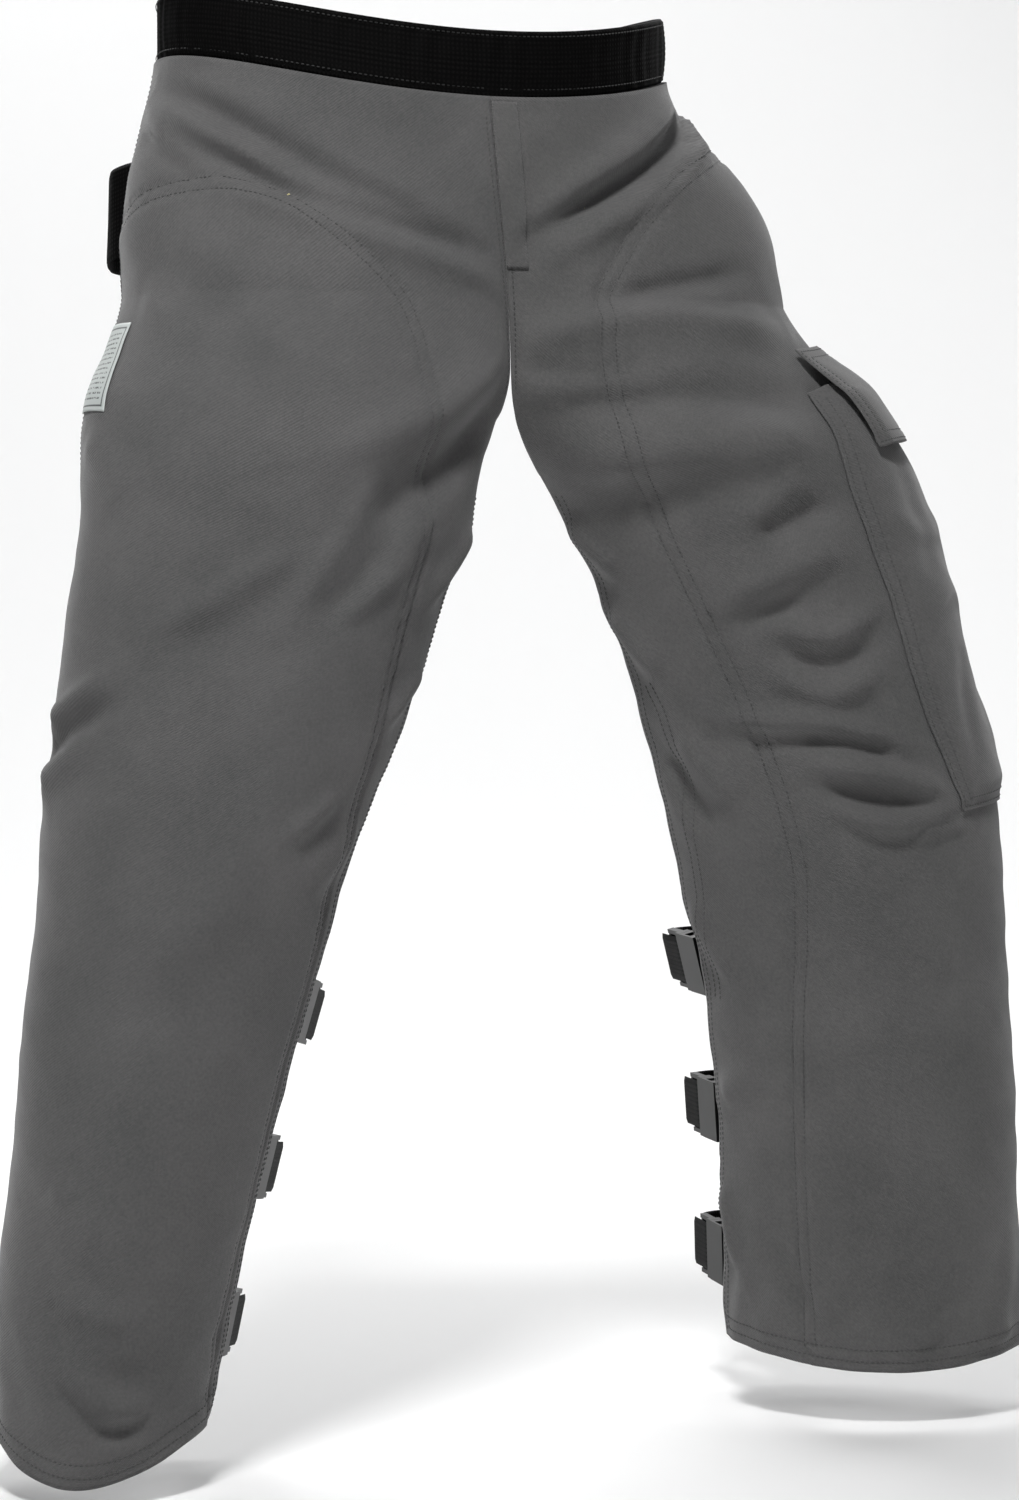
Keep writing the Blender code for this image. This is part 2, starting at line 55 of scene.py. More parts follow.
# Stations down each leg: depth below the waist and value, in metres or degrees.
# waist is the pelvis's half width, x and y the leg's centre, a and b its half width and half depth.
leftLeg = {
    "side": 1, "hemDrop": 0.016,
    "waist": [(0, 0.180), (0.05, 0.186), (0.09, 0.198), (0.14, 0.228), (0.20, 0.244), (0.24, 0.250)],
    "x": [(0.20, 0.140), (0.27, 0.175), (0.335, 0.196), (0.40, 0.222), (0.465, 0.243), (0.53, 0.262),
          (0.60, 0.272), (0.665, 0.283), (0.795, 0.291), (0.93, 0.297)],
    "a": [(0.20, 0.130), (0.27, 0.130), (0.335, 0.128), (0.40, 0.121), (0.465, 0.115), (0.53, 0.1135),
          (0.60, 0.109), (0.665, 0.103), (0.795, 0.101), (0.93, 0.103)],
    "b": [(0.20, 0.090), (0.27, 0.090), (0.45, 0.088), (0.70, 0.080), (0.93, 0.085)],
}
rightLeg = {
    "side": -1, "hemDrop": 0.042,
    "waist": [(0, 0.171), (0.05, 0.176), (0.10, 0.188), (0.16, 0.196), (0.24, 0.192)],
    "x": [(0.20, 0.100), (0.27, 0.130), (0.335, 0.133), (0.40, 0.152), (0.465, 0.172), (0.53, 0.192),
          (0.60, 0.209), (0.73, 0.238), (0.795, 0.250), (0.86, 0.261), (0.93, 0.270)],
    "a": [(0.20, 0.122), (0.27, 0.125), (0.335, 0.126), (0.40, 0.119), (0.465, 0.111), (0.53, 0.102),
          (0.60, 0.092), (0.73, 0.081), (0.795, 0.076), (0.86, 0.071), (0.93, 0.068)],
    "b": [(0.20, 0.090), (0.27, 0.090), (0.45, 0.088), (0.70, 0.080), (0.93, 0.080)],
}
bothLegs = {
    "waistDepth": [(0, 0.120), (0.08, 0.124), (0.24, 0.128)],
    "y": [(0.20, -0.050), (0.27, -0.077), (0.40, -0.095), (0.60, -0.110), (0.93, -0.115)],
    "turn": [(0.20, 0), (0.35, -8), (0.60, -24), (0.93, -27)],
    "inner": [(0.20, 75), (0.30, 80), (0.50, 81), (0.93, 82)],
    "outer": [(0.0, 112), (0.93, 112)],
}
legs = {"left": leftLeg, "right": rightLeg}

# Folds worn into each panel: waypoints (u across from the inner edge, t down from the waist),
# half width and height in millimetres. A negative height is a valley.
folds = {
    "left": [
        ([(0.62, 0.030), (0.48, 0.040), (0.30, 0.062), (0.20, 0.078), (0.05, 0.112)], 7, -4.5),
        ([(0.60, 0.058), (0.44, 0.062), (0.26, 0.090), (0.10, 0.125)], 9, 3.5),
        ([(0.55, 0.010), (0.32, 0.040), (0.12, 0.075)], 10, 2.0),
        ([(0.01, 0.190), (0.23, 0.178), (0.43, 0.190), (0.60, 0.200)], 11, 4.5),
        ([(0.22, 0.158), (0.36, 0.152), (0.50, 0.150)], 7, -3.0),
        ([(0.02, 0.212), (0.16, 0.216), (0.30, 0.212)], 9, -2.5),
        ([(0.06, 0.246), (0.33, 0.238), (0.56, 0.250)], 14, -6.0),
        ([(0.08, 0.290), (0.32, 0.280), (0.52, 0.286)], 16, 4.5),
        ([(0.34, 0.337), (0.48, 0.305)], 9, 3.0),
        ([(0.36, 0.352), (0.52, 0.325)], 8, -3.0),
        ([(0.27, 0.399), (0.41, 0.373), (0.50, 0.362)], 10, 3.5),
        ([(0.28, 0.418), (0.42, 0.394)], 8, -2.5),
        ([(0.32, 0.411), (0.435, 0.427), (0.55, 0.407)], 7, 2.8),
        ([(0.33, 0.451), (0.415, 0.471), (0.52, 0.459)], 8, 3.0),
        ([(0.36, 0.438), (0.44, 0.450), (0.53, 0.436)], 7, -2.5),
        ([(0.21, 0.487), (0.38, 0.492), (0.54, 0.515)], 8, 4.5),
        ([(0.34, 0.503), (0.44, 0.508), (0.54, 0.527)], 7, -3.8),
        ([(0.38, 0.525), (0.50, 0.535), (0.62, 0.559)], 8, 4.5),
        ([(0.36, 0.541), (0.47, 0.556), (0.56, 0.560)], 7, -3.5),
        ([(0.37, 0.549), (0.49, 0.573), (0.65, 0.565)], 7, 3.5),
        ([(0.53, 0.589), (0.65, 0.581)], 5, 2.0),
        ([(0.12, 0.497), (0.23, 0.555)], 11, 4.0),
        ([(0.06, 0.515), (0.17, 0.585)], 9, -3.0),
        ([(0.02, 0.400), (0.12, 0.455)], 12, 4.0),
        ([(0.01, 0.330), (0.10, 0.375)], 12, 3.5),
        ([(0.03, 0.640), (0.16, 0.700)], 14, 3.0),
        ([(0.45, 0.640), (0.62, 0.700)], 18, 2.5),
        ([(0.05, 0.800), (0.20, 0.770)], 12, 2.5),
        ([(0.26, 0.928), (0.34, 0.964)], 7, 3.0),
        ([(0.20, 0.910), (0.30, 0.955)], 8, -2.2),
        ([(0.48, 0.976), (0.56, 0.970)], 5, 1.8),
        ([(0.60, 0.986), (0.74, 0.984)], 5, 2.0),
        ([(0.02, 0.870), (0.10, 0.940)], 10, 3.0),
    ],
    "right": [
        ([(0.85, 0.030), (0.54, 0.060), (0.41, 0.082), (0.24, 0.104)], 7, 3.0),
        ([(0.80, 0.018), (0.50, 0.045), (0.30, 0.078), (0.10, 0.108)], 8, -2.6),
        ([(0.71, 0.060), (0.41, 0.086), (0.22, 0.106), (0.05, 0.124)], 7, -2.8),
        ([(0.60, 0.084), (0.36, 0.110), (0.16, 0.132), (0.04, 0.146)], 9, 2.6),
        ([(0.90, 0.050), (0.72, 0.075), (0.60, 0.088)], 7, -2.2),
        ([(0.04, 0.200), (0.26, 0.253), (0.42, 0.283)], 15, 5.0),
        ([(0.03, 0.235), (0.22, 0.295), (0.36, 0.330)], 14, -3.5),
        ([(0.33, 0.289), (0.38, 0.345), (0.42, 0.405)], 9, 2.4),
        ([(0.27, 0.300), (0.31, 0.360), (0.35, 0.410)], 9, -1.8),
        ([(0.44, 0.349), (0.54, 0.392), (0.64, 0.421)], 10, 2.6),
        ([(0.25, 0.361), (0.34, 0.401)], 8, 2.2),
        ([(0.67, 0.451), (0.78, 0.480), (0.88, 0.501)], 9, 3.4),
        ([(0.66, 0.475), (0.80, 0.508), (0.90, 0.525)], 9, -2.8),
        ([(0.70, 0.505), (0.85, 0.545)], 11, 2.8),
        ([(0.19, 0.527), (0.28, 0.557)], 9, 2.4),
        ([(0.05, 0.330), (0.14, 0.390)], 11, 3.2),
        ([(0.04, 0.440), (0.14, 0.480)], 10, 2.6),
        ([(0.05, 0.560), (0.20, 0.600)], 16, 2.4),
        ([(0.30, 0.600), (0.55, 0.640)], 22, 2.4),
        ([(0.52, 0.914), (0.37, 0.944), (0.27, 0.954)], 7, 3.4),
        ([(0.56, 0.930), (0.42, 0.958), (0.30, 0.968)], 6, -2.6),
        ([(0.56, 0.862), (0.45, 0.880), (0.36, 0.888)], 8, 2.8),
        ([(0.60, 0.880), (0.50, 0.900)], 7, -2.0),
        ([(0.62, 0.800), (0.46, 0.830)], 12, 2.2),
        ([(0.80, 0.180), (0.60, 0.215)], 16, 2.6),
        ([(0.88, 0.290), (0.72, 0.330)], 14, 2.2),
    ],
}

# Where the double row that holds the pad's edge runs.
padSeam = {
    "left": [(1.00, 0.092), (0.80, 0.072), (0.63, 0.066), (0.50, 0.066), (0.37, 0.076), (0.29, 0.098),
             (0.245, 0.122), (0.207, 0.150), (0.198, 0.175), (0.207, 0.220), (0.215, 0.265),
             (0.217, 0.333), (0.237, 0.411), (0.285, 0.500), (0.312, 0.563), (0.326, 0.610),
             (0.312, 0.660), (0.284, 0.715), (0.271, 0.792), (0.268, 0.900), (0.280, 0.985)],
    "right": [(1.00, 0.135), (0.90, 0.122), (0.80, 0.110), (0.69, 0.100), (0.60, 0.093), (0.52, 0.090),
              (0.43, 0.095), (0.37, 0.110), (0.314, 0.132), (0.275, 0.158), (0.258, 0.184),
              (0.250, 0.215), (0.241, 0.275), (0.218, 0.335), (0.200, 0.380), (0.172, 0.440),
              (0.137, 0.500), (0.100, 0.570), (0.075, 0.660), (0.070, 0.800), (0.072, 0.985)],
}


def smoothStep(low, high, value):
    k = np.clip((value - low) / (high - low), 0, 1)
    return k * k * (3 - 2 * k)


# The stations' value at each depth: a cubic between stations whose slope is the harmonic mean of its neighbours'.
def along(stations, depth):
    x, y = np.array(stations, float).T
    step = np.diff(x)
    slope = np.diff(y) / step
    tangent = np.zeros_like(y)
    tangent[0], tangent[-1] = slope[0], slope[-1]
    product, total = slope[:-1] * slope[1:], slope[:-1] + slope[1:]
    tangent[1:-1] = np.where(product > 0, 2 * product / np.where(product > 0, total, 1), 0)
    i = np.clip(np.searchsorted(x, depth) - 1, 0, len(step) - 1)
    s = np.clip((depth - x[i]) / step[i], 0, 1)
    return (
        (2 * s**3 - 3 * s**2 + 1) * y[i]
        + (s**3 - 2 * s**2 + s) * step[i] * tangent[i]
        + (3 * s**2 - 2 * s**3) * y[i + 1]
        + (s**3 - s**2) * step[i] * tangent[i + 1]
    )


# Height of the waistband's top edge: it dips by twice the dip at front and back.
def bandEdge(angle):
    return -band["dip"] * (1 + np.cos(2 * angle))


# An oval round the pelvis turns into an oval round the leg as the depth grows.
# u runs round the leg from the inner edge to the outer one, t from the waist to the hem.
def legSurface(leg, u, t):
    own, side = legs[leg], legs[leg]["side"]
    waistAngle = u * math.radians(panel["waistWrap"])
    top = bandEdge(waistAngle) - band["height"] - cloth["gap"]
    hem = -panel["hem"] - own["hemDrop"] * np.exp(-(((u - 0.45) / 0.33) ** 2))
    z = top + (hem - top) * t
    depth = -z
    share = smoothStep(0.05, 0.32, depth)
    pelvisDepth = np.minimum(depth, 0.24)
    pelvisX = side * along(own["waist"], pelvisDepth) * np.sin(waistAngle)
    pelvisY = -along(bothLegs["waistDepth"], pelvisDepth) * np.cos(waistAngle)
    turn, inner, outer = (np.radians(along(bothLegs[key], depth)) for key in ("turn", "inner", "outer"))
    angle = -inner + (inner + outer) * u
    ahead = along(own["b"], depth) * np.cos(angle)
    aside = side * along(own["a"], depth) * np.sin(angle)
    legX = side * along(own["x"], depth) + np.sin(turn) * ahead + np.cos(turn) * aside
    legY = along(bothLegs["y"], depth) - np.cos(turn) * ahead + np.sin(turn) * aside
    return pelvisX + (legX - pelvisX) * share, pelvisY + (legY - pelvisY) * share, z


# The oval surface, with its front edge drawn onto the centre seam as far as the crotch.
def onLeg(leg, u, t):
    u, t = np.broadcast_arrays(np.asarray(u, float), np.asarray(t, float))
    x, y, z = legSurface(leg, u, t)
    edgeX, edgeY, edgeZ = legSurface(leg, np.zeros_like(t), t)
    fade = (1 - u) ** 3 * (1 - smoothStep(panel["crotch"], panel["crotch"] + 0.10, -z))
    seamX = legs[leg]["side"] * cloth["gap"] + 0.012 * smoothStep(0.03, panel["crotch"], -edgeZ)
    seamY = -0.120 - 0.008 * smoothStep(0, panel["crotch"], -edgeZ)
    return np.stack([x + (seamX - edgeX) * fade, y + (seamY - edgeY) * fade, z], -1)


# Cross product of the steps down and across the surface, turned away from the leg.
def outward(leg, u, t):
    step = 1e-3
    across = onLeg(leg, np.minimum(u + step, 1), t) - onLeg(leg, np.maximum(u - step, 0), t)
    down = onLeg(leg, u, np.minimum(t + step, 1)) - onLeg(leg, u, np.maximum(t - step, 0))
    normal = np.cross(down, across) * legs[leg]["side"]
    return normal / np.linalg.norm(normal, axis=-1, keepdims=True)


# A smooth line through waypoints: a Catmull-Rom cubic on each stretch.
def smoothLine(points, count):
    p = np.array(points, float)
    p = np.vstack([2 * p[0] - p[1], p, 2 * p[-1] - p[-2]])
    place = np.linspace(0, len(points) - 1 - 1e-9, count)
    i = place.astype(int)
    s = (place - i)[:, None]
    a, b, c, d = p[i], p[i + 1], p[i + 2], p[i + 3]
    return 0.5 * (2 * b + (c - a) * s + (2 * a - 5 * b + 4 * c - d) * s**2 + (3 * b - a - 3 * c + d) * s**3)


flatScale = np.array([panel["acrossLength"], panel["downLength"]])


# For every (u, t): metres from the line, signed by its side, and how far along it that is, 0 to 1.
# The distance is square to the line's nearest stretch, and straight to its end past an end.
def lineDistance(u, t, line):
    here = np.stack([u.ravel(), t.ravel()], -1) * flatScale
    nodes = line * flatScale
    best = np.full(len(here), 1e9)
    where = np.zeros(len(here), int)
    for index, node in enumerate(nodes):
        gap = ((here - node) ** 2).sum(1)
        closer = gap < best
        best[closer] = gap[closer]
        where[closer] = index
    way = np.gradient(nodes, axis=0)
    spacing = np.linalg.norm(way, axis=1)
    way = way / spacing[:, None]
    off = here - nodes[where]
    side = way[where, 0] * off[:, 1] - way[where, 1] * off[:, 0]
    forward = (way[where] * off).sum(1)
    place = (where + forward / spacing[where]) / (len(nodes) - 1)
    past = (place < 0) | (place > 1)
    distance = np.where(past, np.sign(side + 1e-12) * np.sqrt(best), side)
    return distance.reshape(u.shape), np.clip(place, 0, 1).reshape(u.shape)


# Slow unevenness: seeded sine waves of several lengths, added up.
def unevenness(u, t, seed, lengths, height, slant):
    chance = np.random.default_rng(seed)
    x, y = u * flatScale[0], t * flatScale[1]
    total = np.zeros_like(x)
    for length in lengths:
        angle = slant + chance.normal(0, 0.35)
        phase = chance.uniform(0, 2 * np.pi)
        bend = 0.5 * np.sin(x / (length * 2.3) + y / (length * 1.7) + chance.uniform(0, 6))
        total += np.sin((x * np.cos(angle) + y * np.sin(angle)) * 2 * np.pi / length + phase + 2 * bend)
    return height * total / len(lengths)


# Broad fullness: centre (u, t), half sizes in the same units, and height in millimetres.
fullness = {
    "left": [((0.62, 0.115), (0.20, 0.062), 13.0), ((0.30, 0.205), (0.16, 0.035), 4.0),
             ((0.45, 0.600), (0.20, 0.050), 3.0), ((0.12, 0.560), (0.08, 0.050), 3.0)],
    "right": [((0.40, 0.190), (0.20, 0.060), 4.0), ((0.60, 0.330), (0.25, 0.080), 4.0),
              ((0.45, 0.560), (0.25, 0.060), 3.0)],
}


# The lap at the left hip, whose lower side stands out over the upper one.
hipLap = {"line": [(0.20, 0.112), (0.30, 0.088), (0.42, 0.068), (0.52, 0.052), (0.62, 0.038), (0.75, 0.026)],
          "side": 1, "height": 0.0075}
foldDepth = 1.7  # multiplies every fold's height


# How far the cloth stands off the smooth leg: fullness, folds, unevenness, the pad's edge and pulled seams.
def relief(leg, u, t):
    rise = np.zeros(u.shape)
    for (atU, atT), (halfU, halfT), height in fullness[leg]:
        rise += height * 0.001 * np.exp(-(((u - atU) / halfU) ** 2) - ((t - atT) / halfT) ** 2)
    for points, width, height in folds[leg]:
        distance, place = lineDistance(u, t, smoothLine(points, 36))
        ends = smoothStep(0, 0.25, place) * smoothStep(0, 0.25, 1 - place)
        reach = width * 0.001
        crest = np.exp(-((distance / reach) ** 2))
        trough = np.exp(-(((distance - 1.9 * reach) / (1.3 * reach)) ** 2))
        rise += foldDepth * height * 0.001 * (crest - 0.35 * trough) * (0.25 + 0.75 * ends)
    if leg == "left":
        distance, place = lineDistance(u, t, smoothLine(hipLap["line"], 60))
        lap = smoothStep(-0.0018, 0.0018, hipLap["side"] * distance) * np.exp(-np.maximum(0, hipLap["side"] * distance) / 0.045)
        rise += hipLap["height"] * lap * smoothStep(1.0, 0.45, 1 - place) * (np.abs(distance) < 0.2)
    seed = 11 if leg == "left" else 23
    rise += unevenness(u, t, seed, (0.21, 0.15, 0.11), 0.0016, 1.9)
    rise += unevenness(u, t, seed + 1, (0.055, 0.043, 0.035), 0.00045, 1.2)
    rise += unevenness(u, t, seed + 2, (0.021, 0.017), 0.00012, 1.9)
    rise += smoothStep(0.86, 0.97, t) * unevenness(u, t, seed + 3, (0.050, 0.034), 0.0013, 1.35)
    distance, _ = lineDistance(u, t, smoothLine(padSeam[leg], 260))
    rise += 0.0016 * smoothStep(-0.004, 0.006, -distance)
    pucker = 1 + 0.35 * np.sin(t * 350) * np.sin(u * 140 + 1)
    for row in (-0.004, 0.004):
        rise -= 0.0017 * pucker * np.exp(-(((distance - row) / 0.0024) ** 2))
    edges = np.minimum(smoothStep(0, 0.03, t), smoothStep(0, 0.05, u + smoothStep(0.24, 0.34, t)))
    return rise * edges


def gridOf(uSpan, tSpan, columns, rows):
    return np.meshgrid(np.linspace(*uSpan, columns), np.linspace(*tSpan, rows))


gridCache = {}


# Relief on a fine regular grid, kept, and read back between its points in straight lines.
def reliefAt(leg, u, t):
    if leg not in gridCache:
        gu, gt = gridOf((0, 1), (0, 1), 201, 501)
        gridCache[leg] = relief(leg, gu, gt)
    table = gridCache[leg]
    u, t = np.broadcast_arrays(np.asarray(u, float), np.asarray(t, float))
    x, y = np.clip(u, 0, 1) * 200, np.clip(t, 0, 1) * 500
    i, j = np.minimum(x.astype(int), 199), np.minimum(y.astype(int), 499)
    fx, fy = x - i, y - j
    return (table[j, i] * (1 - fx) + table[j, i + 1] * fx) * (1 - fy) + \
        (table[j + 1, i] * (1 - fx) + table[j + 1, i + 1] * fx) * fy


# Points of the worn cloth at an offset out from its outer face.
def onCloth(leg, u, t, offset=0.0):
    u, t = np.broadcast_arrays(np.asarray(u, float), np.asarray(t, float))
    normal = outward(leg, u, t)
    held = 1 - smoothStep(panel["crotch"] - 0.02, panel["crotch"] + 0.03, -onLeg(leg, u, t)[..., 2])
    normal[..., 0] *= 1 - held * (u < 1e-6)
    return onLeg(leg, u, t) + normal * (reliefAt(leg, u, t) + offset)[..., None]


def newObject(name, mesh, material):
    piece = bpy.data.objects.new(name, mesh)
    bpy.context.scene.collection.objects.link(piece)
    mesh.materials.clear()
    mesh.materials.append(material)
    return piece


# A mesh from points and equal-sided faces, its uv given for each point, its faces turned outwards.
def meshFrom(name, points, faces, uv=None, smooth=True):
    mesh = bpy.data.meshes.new(name)
    mesh.from_pydata(np.asarray(points, float).tolist(), [], [list(f) for f in np.asarray(faces).tolist()])
    if uv is not None:
        corner = np.zeros(len(mesh.loops), np.int32)
        mesh.loops.foreach_get("vertex_index", corner)
        layer = mesh.uv_layers.new(name="clothLength")
        layer.data.foreach_set("uv", np.asarray(uv, np.float32)[corner].ravel())
    shape = bmesh.new()
    shape.from_mesh(mesh)
    bmesh.ops.recalc_face_normals(shape, faces=shape.faces)
    shape.to_mesh(mesh)
    shape.free()
    mesh.polygons.foreach_set("use_smooth", np.full(len(mesh.polygons), smooth))
    return mesh


# The closed solid between an outer and an inner grid: two skins and a wall round the rim.
def blockMesh(name, outer, inner, uv=None):
    rows, columns = outer.shape[:2]
    count = rows * columns
    number = np.arange(count).reshape(rows, columns)
    cells = np.stack([number[:-1, :-1], number[1:, :-1], number[1:, 1:], number[:-1, 1:]], -1).reshape(-1, 4)
    rim = np.concatenate([number[0, :-1], number[:-1, -1], number[-1, :0:-1], number[:0:-1, 0]])
    after = np.roll(rim, -1)
    walls = np.stack([rim, after, after + count, rim + count], -1)
    points = np.concatenate([outer.reshape(-1, 3), inner.reshape(-1, 3)])
    faces = np.concatenate([cells, cells[:, ::-1] + count, walls])
    return meshFrom(name, points, faces, None if uv is None else np.concatenate([uv, uv]))


# A layer of cloth over part of a panel, its two skins at offsets from the worn face.
def clothPiece(name, leg, uSpan, tSpan, size, outerOffset, innerOffset, material):
    u, t = gridOf(uSpan, tSpan, *size)
    outer = onCloth(leg, u, t, outerOffset)
    inner = onCloth(leg, u, t, innerOffset)
    uv = np.stack([u.ravel() * panel["acrossLength"], t.ravel() * panel["downLength"]], -1)
    return newObject(name, blockMesh(name, outer, inner, uv), material)


def hexColour(code):
    value = np.array([int(code[i : i + 2], 16) for i in (1, 3, 5)]) / 255
    linear = np.where(value <= 0.04045, value / 12.92, ((value + 0.055) / 1.055) ** 2.4)
    return (*linear.tolist(), 1.0)


# Adds a node, sets its properties and inputs, and links its named inputs from (node, output) pairs.
def addNode(tree, kind, settings=None, inputs=None, links=None):
    node = tree.nodes.new(kind)
    for key, value in (settings or {}).items():
        setattr(node, key, value)
    for key, value in (inputs or {}).items():
        node.inputs[key].default_value = value
    for key, (source, output) in (links or {}).items():
        tree.links.new(source.outputs[output], node.inputs[key])
    return node


def newMaterial(name, **constants):
    material = bpy.data.materials.new(name)
    material.use_nodes = True
    tree = material.node_tree
    shader = tree.nodes["Principled BSDF"]
    for key, value in constants.items():
        shader.inputs[key.replace("_", " ")].default_value = value
    return material, tree, shader


def colourRamp(tree, source, output, stops):
    ramp = addNode(tree, "ShaderNodeValToRGB", links={"Fac": (source, output)})
    for element, (place, colour) in zip(ramp.color_ramp.elements, stops):
        element.position, element.color = place, hexColour(colour)
    return ramp


# Woven cotton-polyester canvas, brushed: matt, with a faint diagonal rib and a soft bloom on its folds.
# The real threads are 0.5 mm apart, drawn 1.5 mm apart so that they show.
def makeCanvas(name, dark, light, threadPitch=0.0015, bump=0.35):
    material, tree, shader = newMaterial(name, Roughness=0.88, IOR=1.5, Sheen_Weight=0.22,
                                         Sheen_Roughness=0.5, Specular_IOR_Level=0.18)
    uv = addNode(tree, "ShaderNodeUVMap", {"uv_map": "clothLength"})
    place = addNode(tree, "ShaderNodeTexCoord")
    patch = addNode(tree, "ShaderNodeTexNoise", inputs={"Scale": 14.0, "Detail": 5.0, "Roughness": 0.55},
                    links={"Vector": (place, "Object")})
    grain = addNode(tree, "ShaderNodeTexNoise", inputs={"Scale": 520.0, "Detail": 2.0},
                    links={"Vector": (place, "Object")})
    blend = addNode(tree, "ShaderNodeMix", {"data_type": "FLOAT"}, {0: 0.45},
                    {2: (patch, "Fac"), 3: (grain, "Fac")})
    ramp = colourRamp(tree, blend, 0, [(0.34, dark), (0.66, light)])
    tree.links.new(ramp.outputs["Color"], shader.inputs["Base Color"])
    turned = addNode(tree, "ShaderNodeMapping", inputs={"Rotation": (0, 0, math.radians(52))},
                     links={"Vector": (uv, "UV")})
    rib = addNode(tree, "ShaderNodeTexWave", {"wave_type": "BANDS", "bands_direction": "X"},
                  {"Scale": 0.314 / threadPitch, "Distortion": 0.6, "Detail": 1.0}, {"Vector": (turned, 0)})
    height = addNode(tree, "ShaderNodeMath", {"operation": "ADD"}, links={0: (rib, "Fac"), 1: (grain, "Fac")})
    relief = addNode(tree, "ShaderNodeBump", inputs={"Strength": bump, "Distance": 0.0006},
                     links={"Height": (height, 0)})
    tree.links.new(relief.outputs["Normal"], shader.inputs["Normal"])
    return material


# Woven nylon webbing: ribs across it 2 mm apart and a soft shine on the raised threads.
def makeWebbing(name, dark, light, ribPitch=0.002, shine=0.55):
    material, tree, shader = newMaterial(name, Roughness=shine, IOR=1.53, Specular_IOR_Level=0.06)
    uv = addNode(tree, "ShaderNodeUVMap", {"uv_map": "clothLength"})
    rib = addNode(tree, "ShaderNodeTexWave", {"wave_type": "BANDS", "bands_direction": "X"},
                  {"Scale": 0.314 / ribPitch, "Distortion": 0.3}, {"Vector": (uv, "UV")})
    warp = addNode(tree, "ShaderNodeTexWave", {"wave_type": "BANDS", "bands_direction": "Y"},
                   {"Scale": 0.314 / 0.0030, "Distortion": 0.2}, {"Vector": (uv, "UV")})
    weave = addNode(tree, "ShaderNodeMath", {"operation": "MULTIPLY"}, links={0: (rib, "Fac"), 1: (warp, "Fac")})
    ramp = colourRamp(tree, weave, 0, [(0.0, dark), (0.9, light)])
    tree.links.new(ramp.outputs["Color"], shader.inputs["Base Color"])
    relief = addNode(tree, "ShaderNodeBump", inputs={"Strength": 0.5, "Distance": 0.0005},
                     links={"Height": (weave, 0)})
    tree.links.new(relief.outputs["Normal"], shader.inputs["Normal"])
    return material


# Injection-moulded acetal: near black with a satin sheen and a fine spark-eroded grain.
def makeAcetal():
    material, tree, shader = newMaterial("mouldedAcetal", Roughness=0.42, IOR=1.48,
                                         Specular_IOR_Level=0.25)
    place = addNode(tree, "ShaderNodeTexCoord")
    grain = addNode(tree, "ShaderNodeTexNoise", inputs={"Scale": 1800.0, "Detail": 2.0},
                    links={"Vector": (place, "Object")})
    wear = addNode(tree, "ShaderNodeTexNoise", inputs={"Scale": 60.0, "Detail": 3.0},
                   links={"Vector": (place, "Object")})
    ramp = colourRamp(tree, wear, "Fac", [(0.35, "#090909"), (0.75, "#131314")])
    tree.links.new(ramp.outputs["Color"], shader.inputs["Base Color"])
    relief = addNode(tree, "ShaderNodeBump", inputs={"Strength": 0.2, "Distance": 0.00004},
                     links={"Height": (grain, "Fac")})
    tree.links.new(relief.outputs["Normal"], shader.inputs["Normal"])
    return material


# Spun polyester thread: a little lighter than the cloth and slightly glossy.
def makeThread(name, colour):
    material, tree, shader = newMaterial(name, Roughness=0.6, IOR=1.5)
    place = addNode(tree, "ShaderNodeTexCoord")
    ply = addNode(tree, "ShaderNodeTexNoise", inputs={"Scale": 900.0}, links={"Vector": (place, "Object")})
    ramp = colourRamp(tree, ply, "Fac", [(0.3, colour[0]), (0.7, colour[1])])
    tree.links.new(ramp.outputs["Color"], shader.inputs["Base Color"])
    return material


# Hook-and-loop tape: a rough pile about a millimetre across.
def makeTouchTape():
    material, tree, shader = newMaterial("touchTapePile", Roughness=0.95, Sheen_Weight=0.3)
    place = addNode(tree, "ShaderNodeTexCoord")
    pile = addNode(tree, "ShaderNodeTexVoronoi", inputs={"Scale": 900.0}, links={"Vector": (place, "Object")})
    ramp = colourRamp(tree, pile, "Distance", [(0.0, "#2A2A2A"), (0.8, "#101010")])
    tree.links.new(ramp.outputs["Color"], shader.inputs["Base Color"])
    relief = addNode(tree, "ShaderNodeBump", inputs={"Strength": 0.8, "Distance": 0.0008},
                     links={"Height": (pile, "Distance")})
    tree.links.new(relief.outputs["Normal"], shader.inputs["Normal"])
    return material


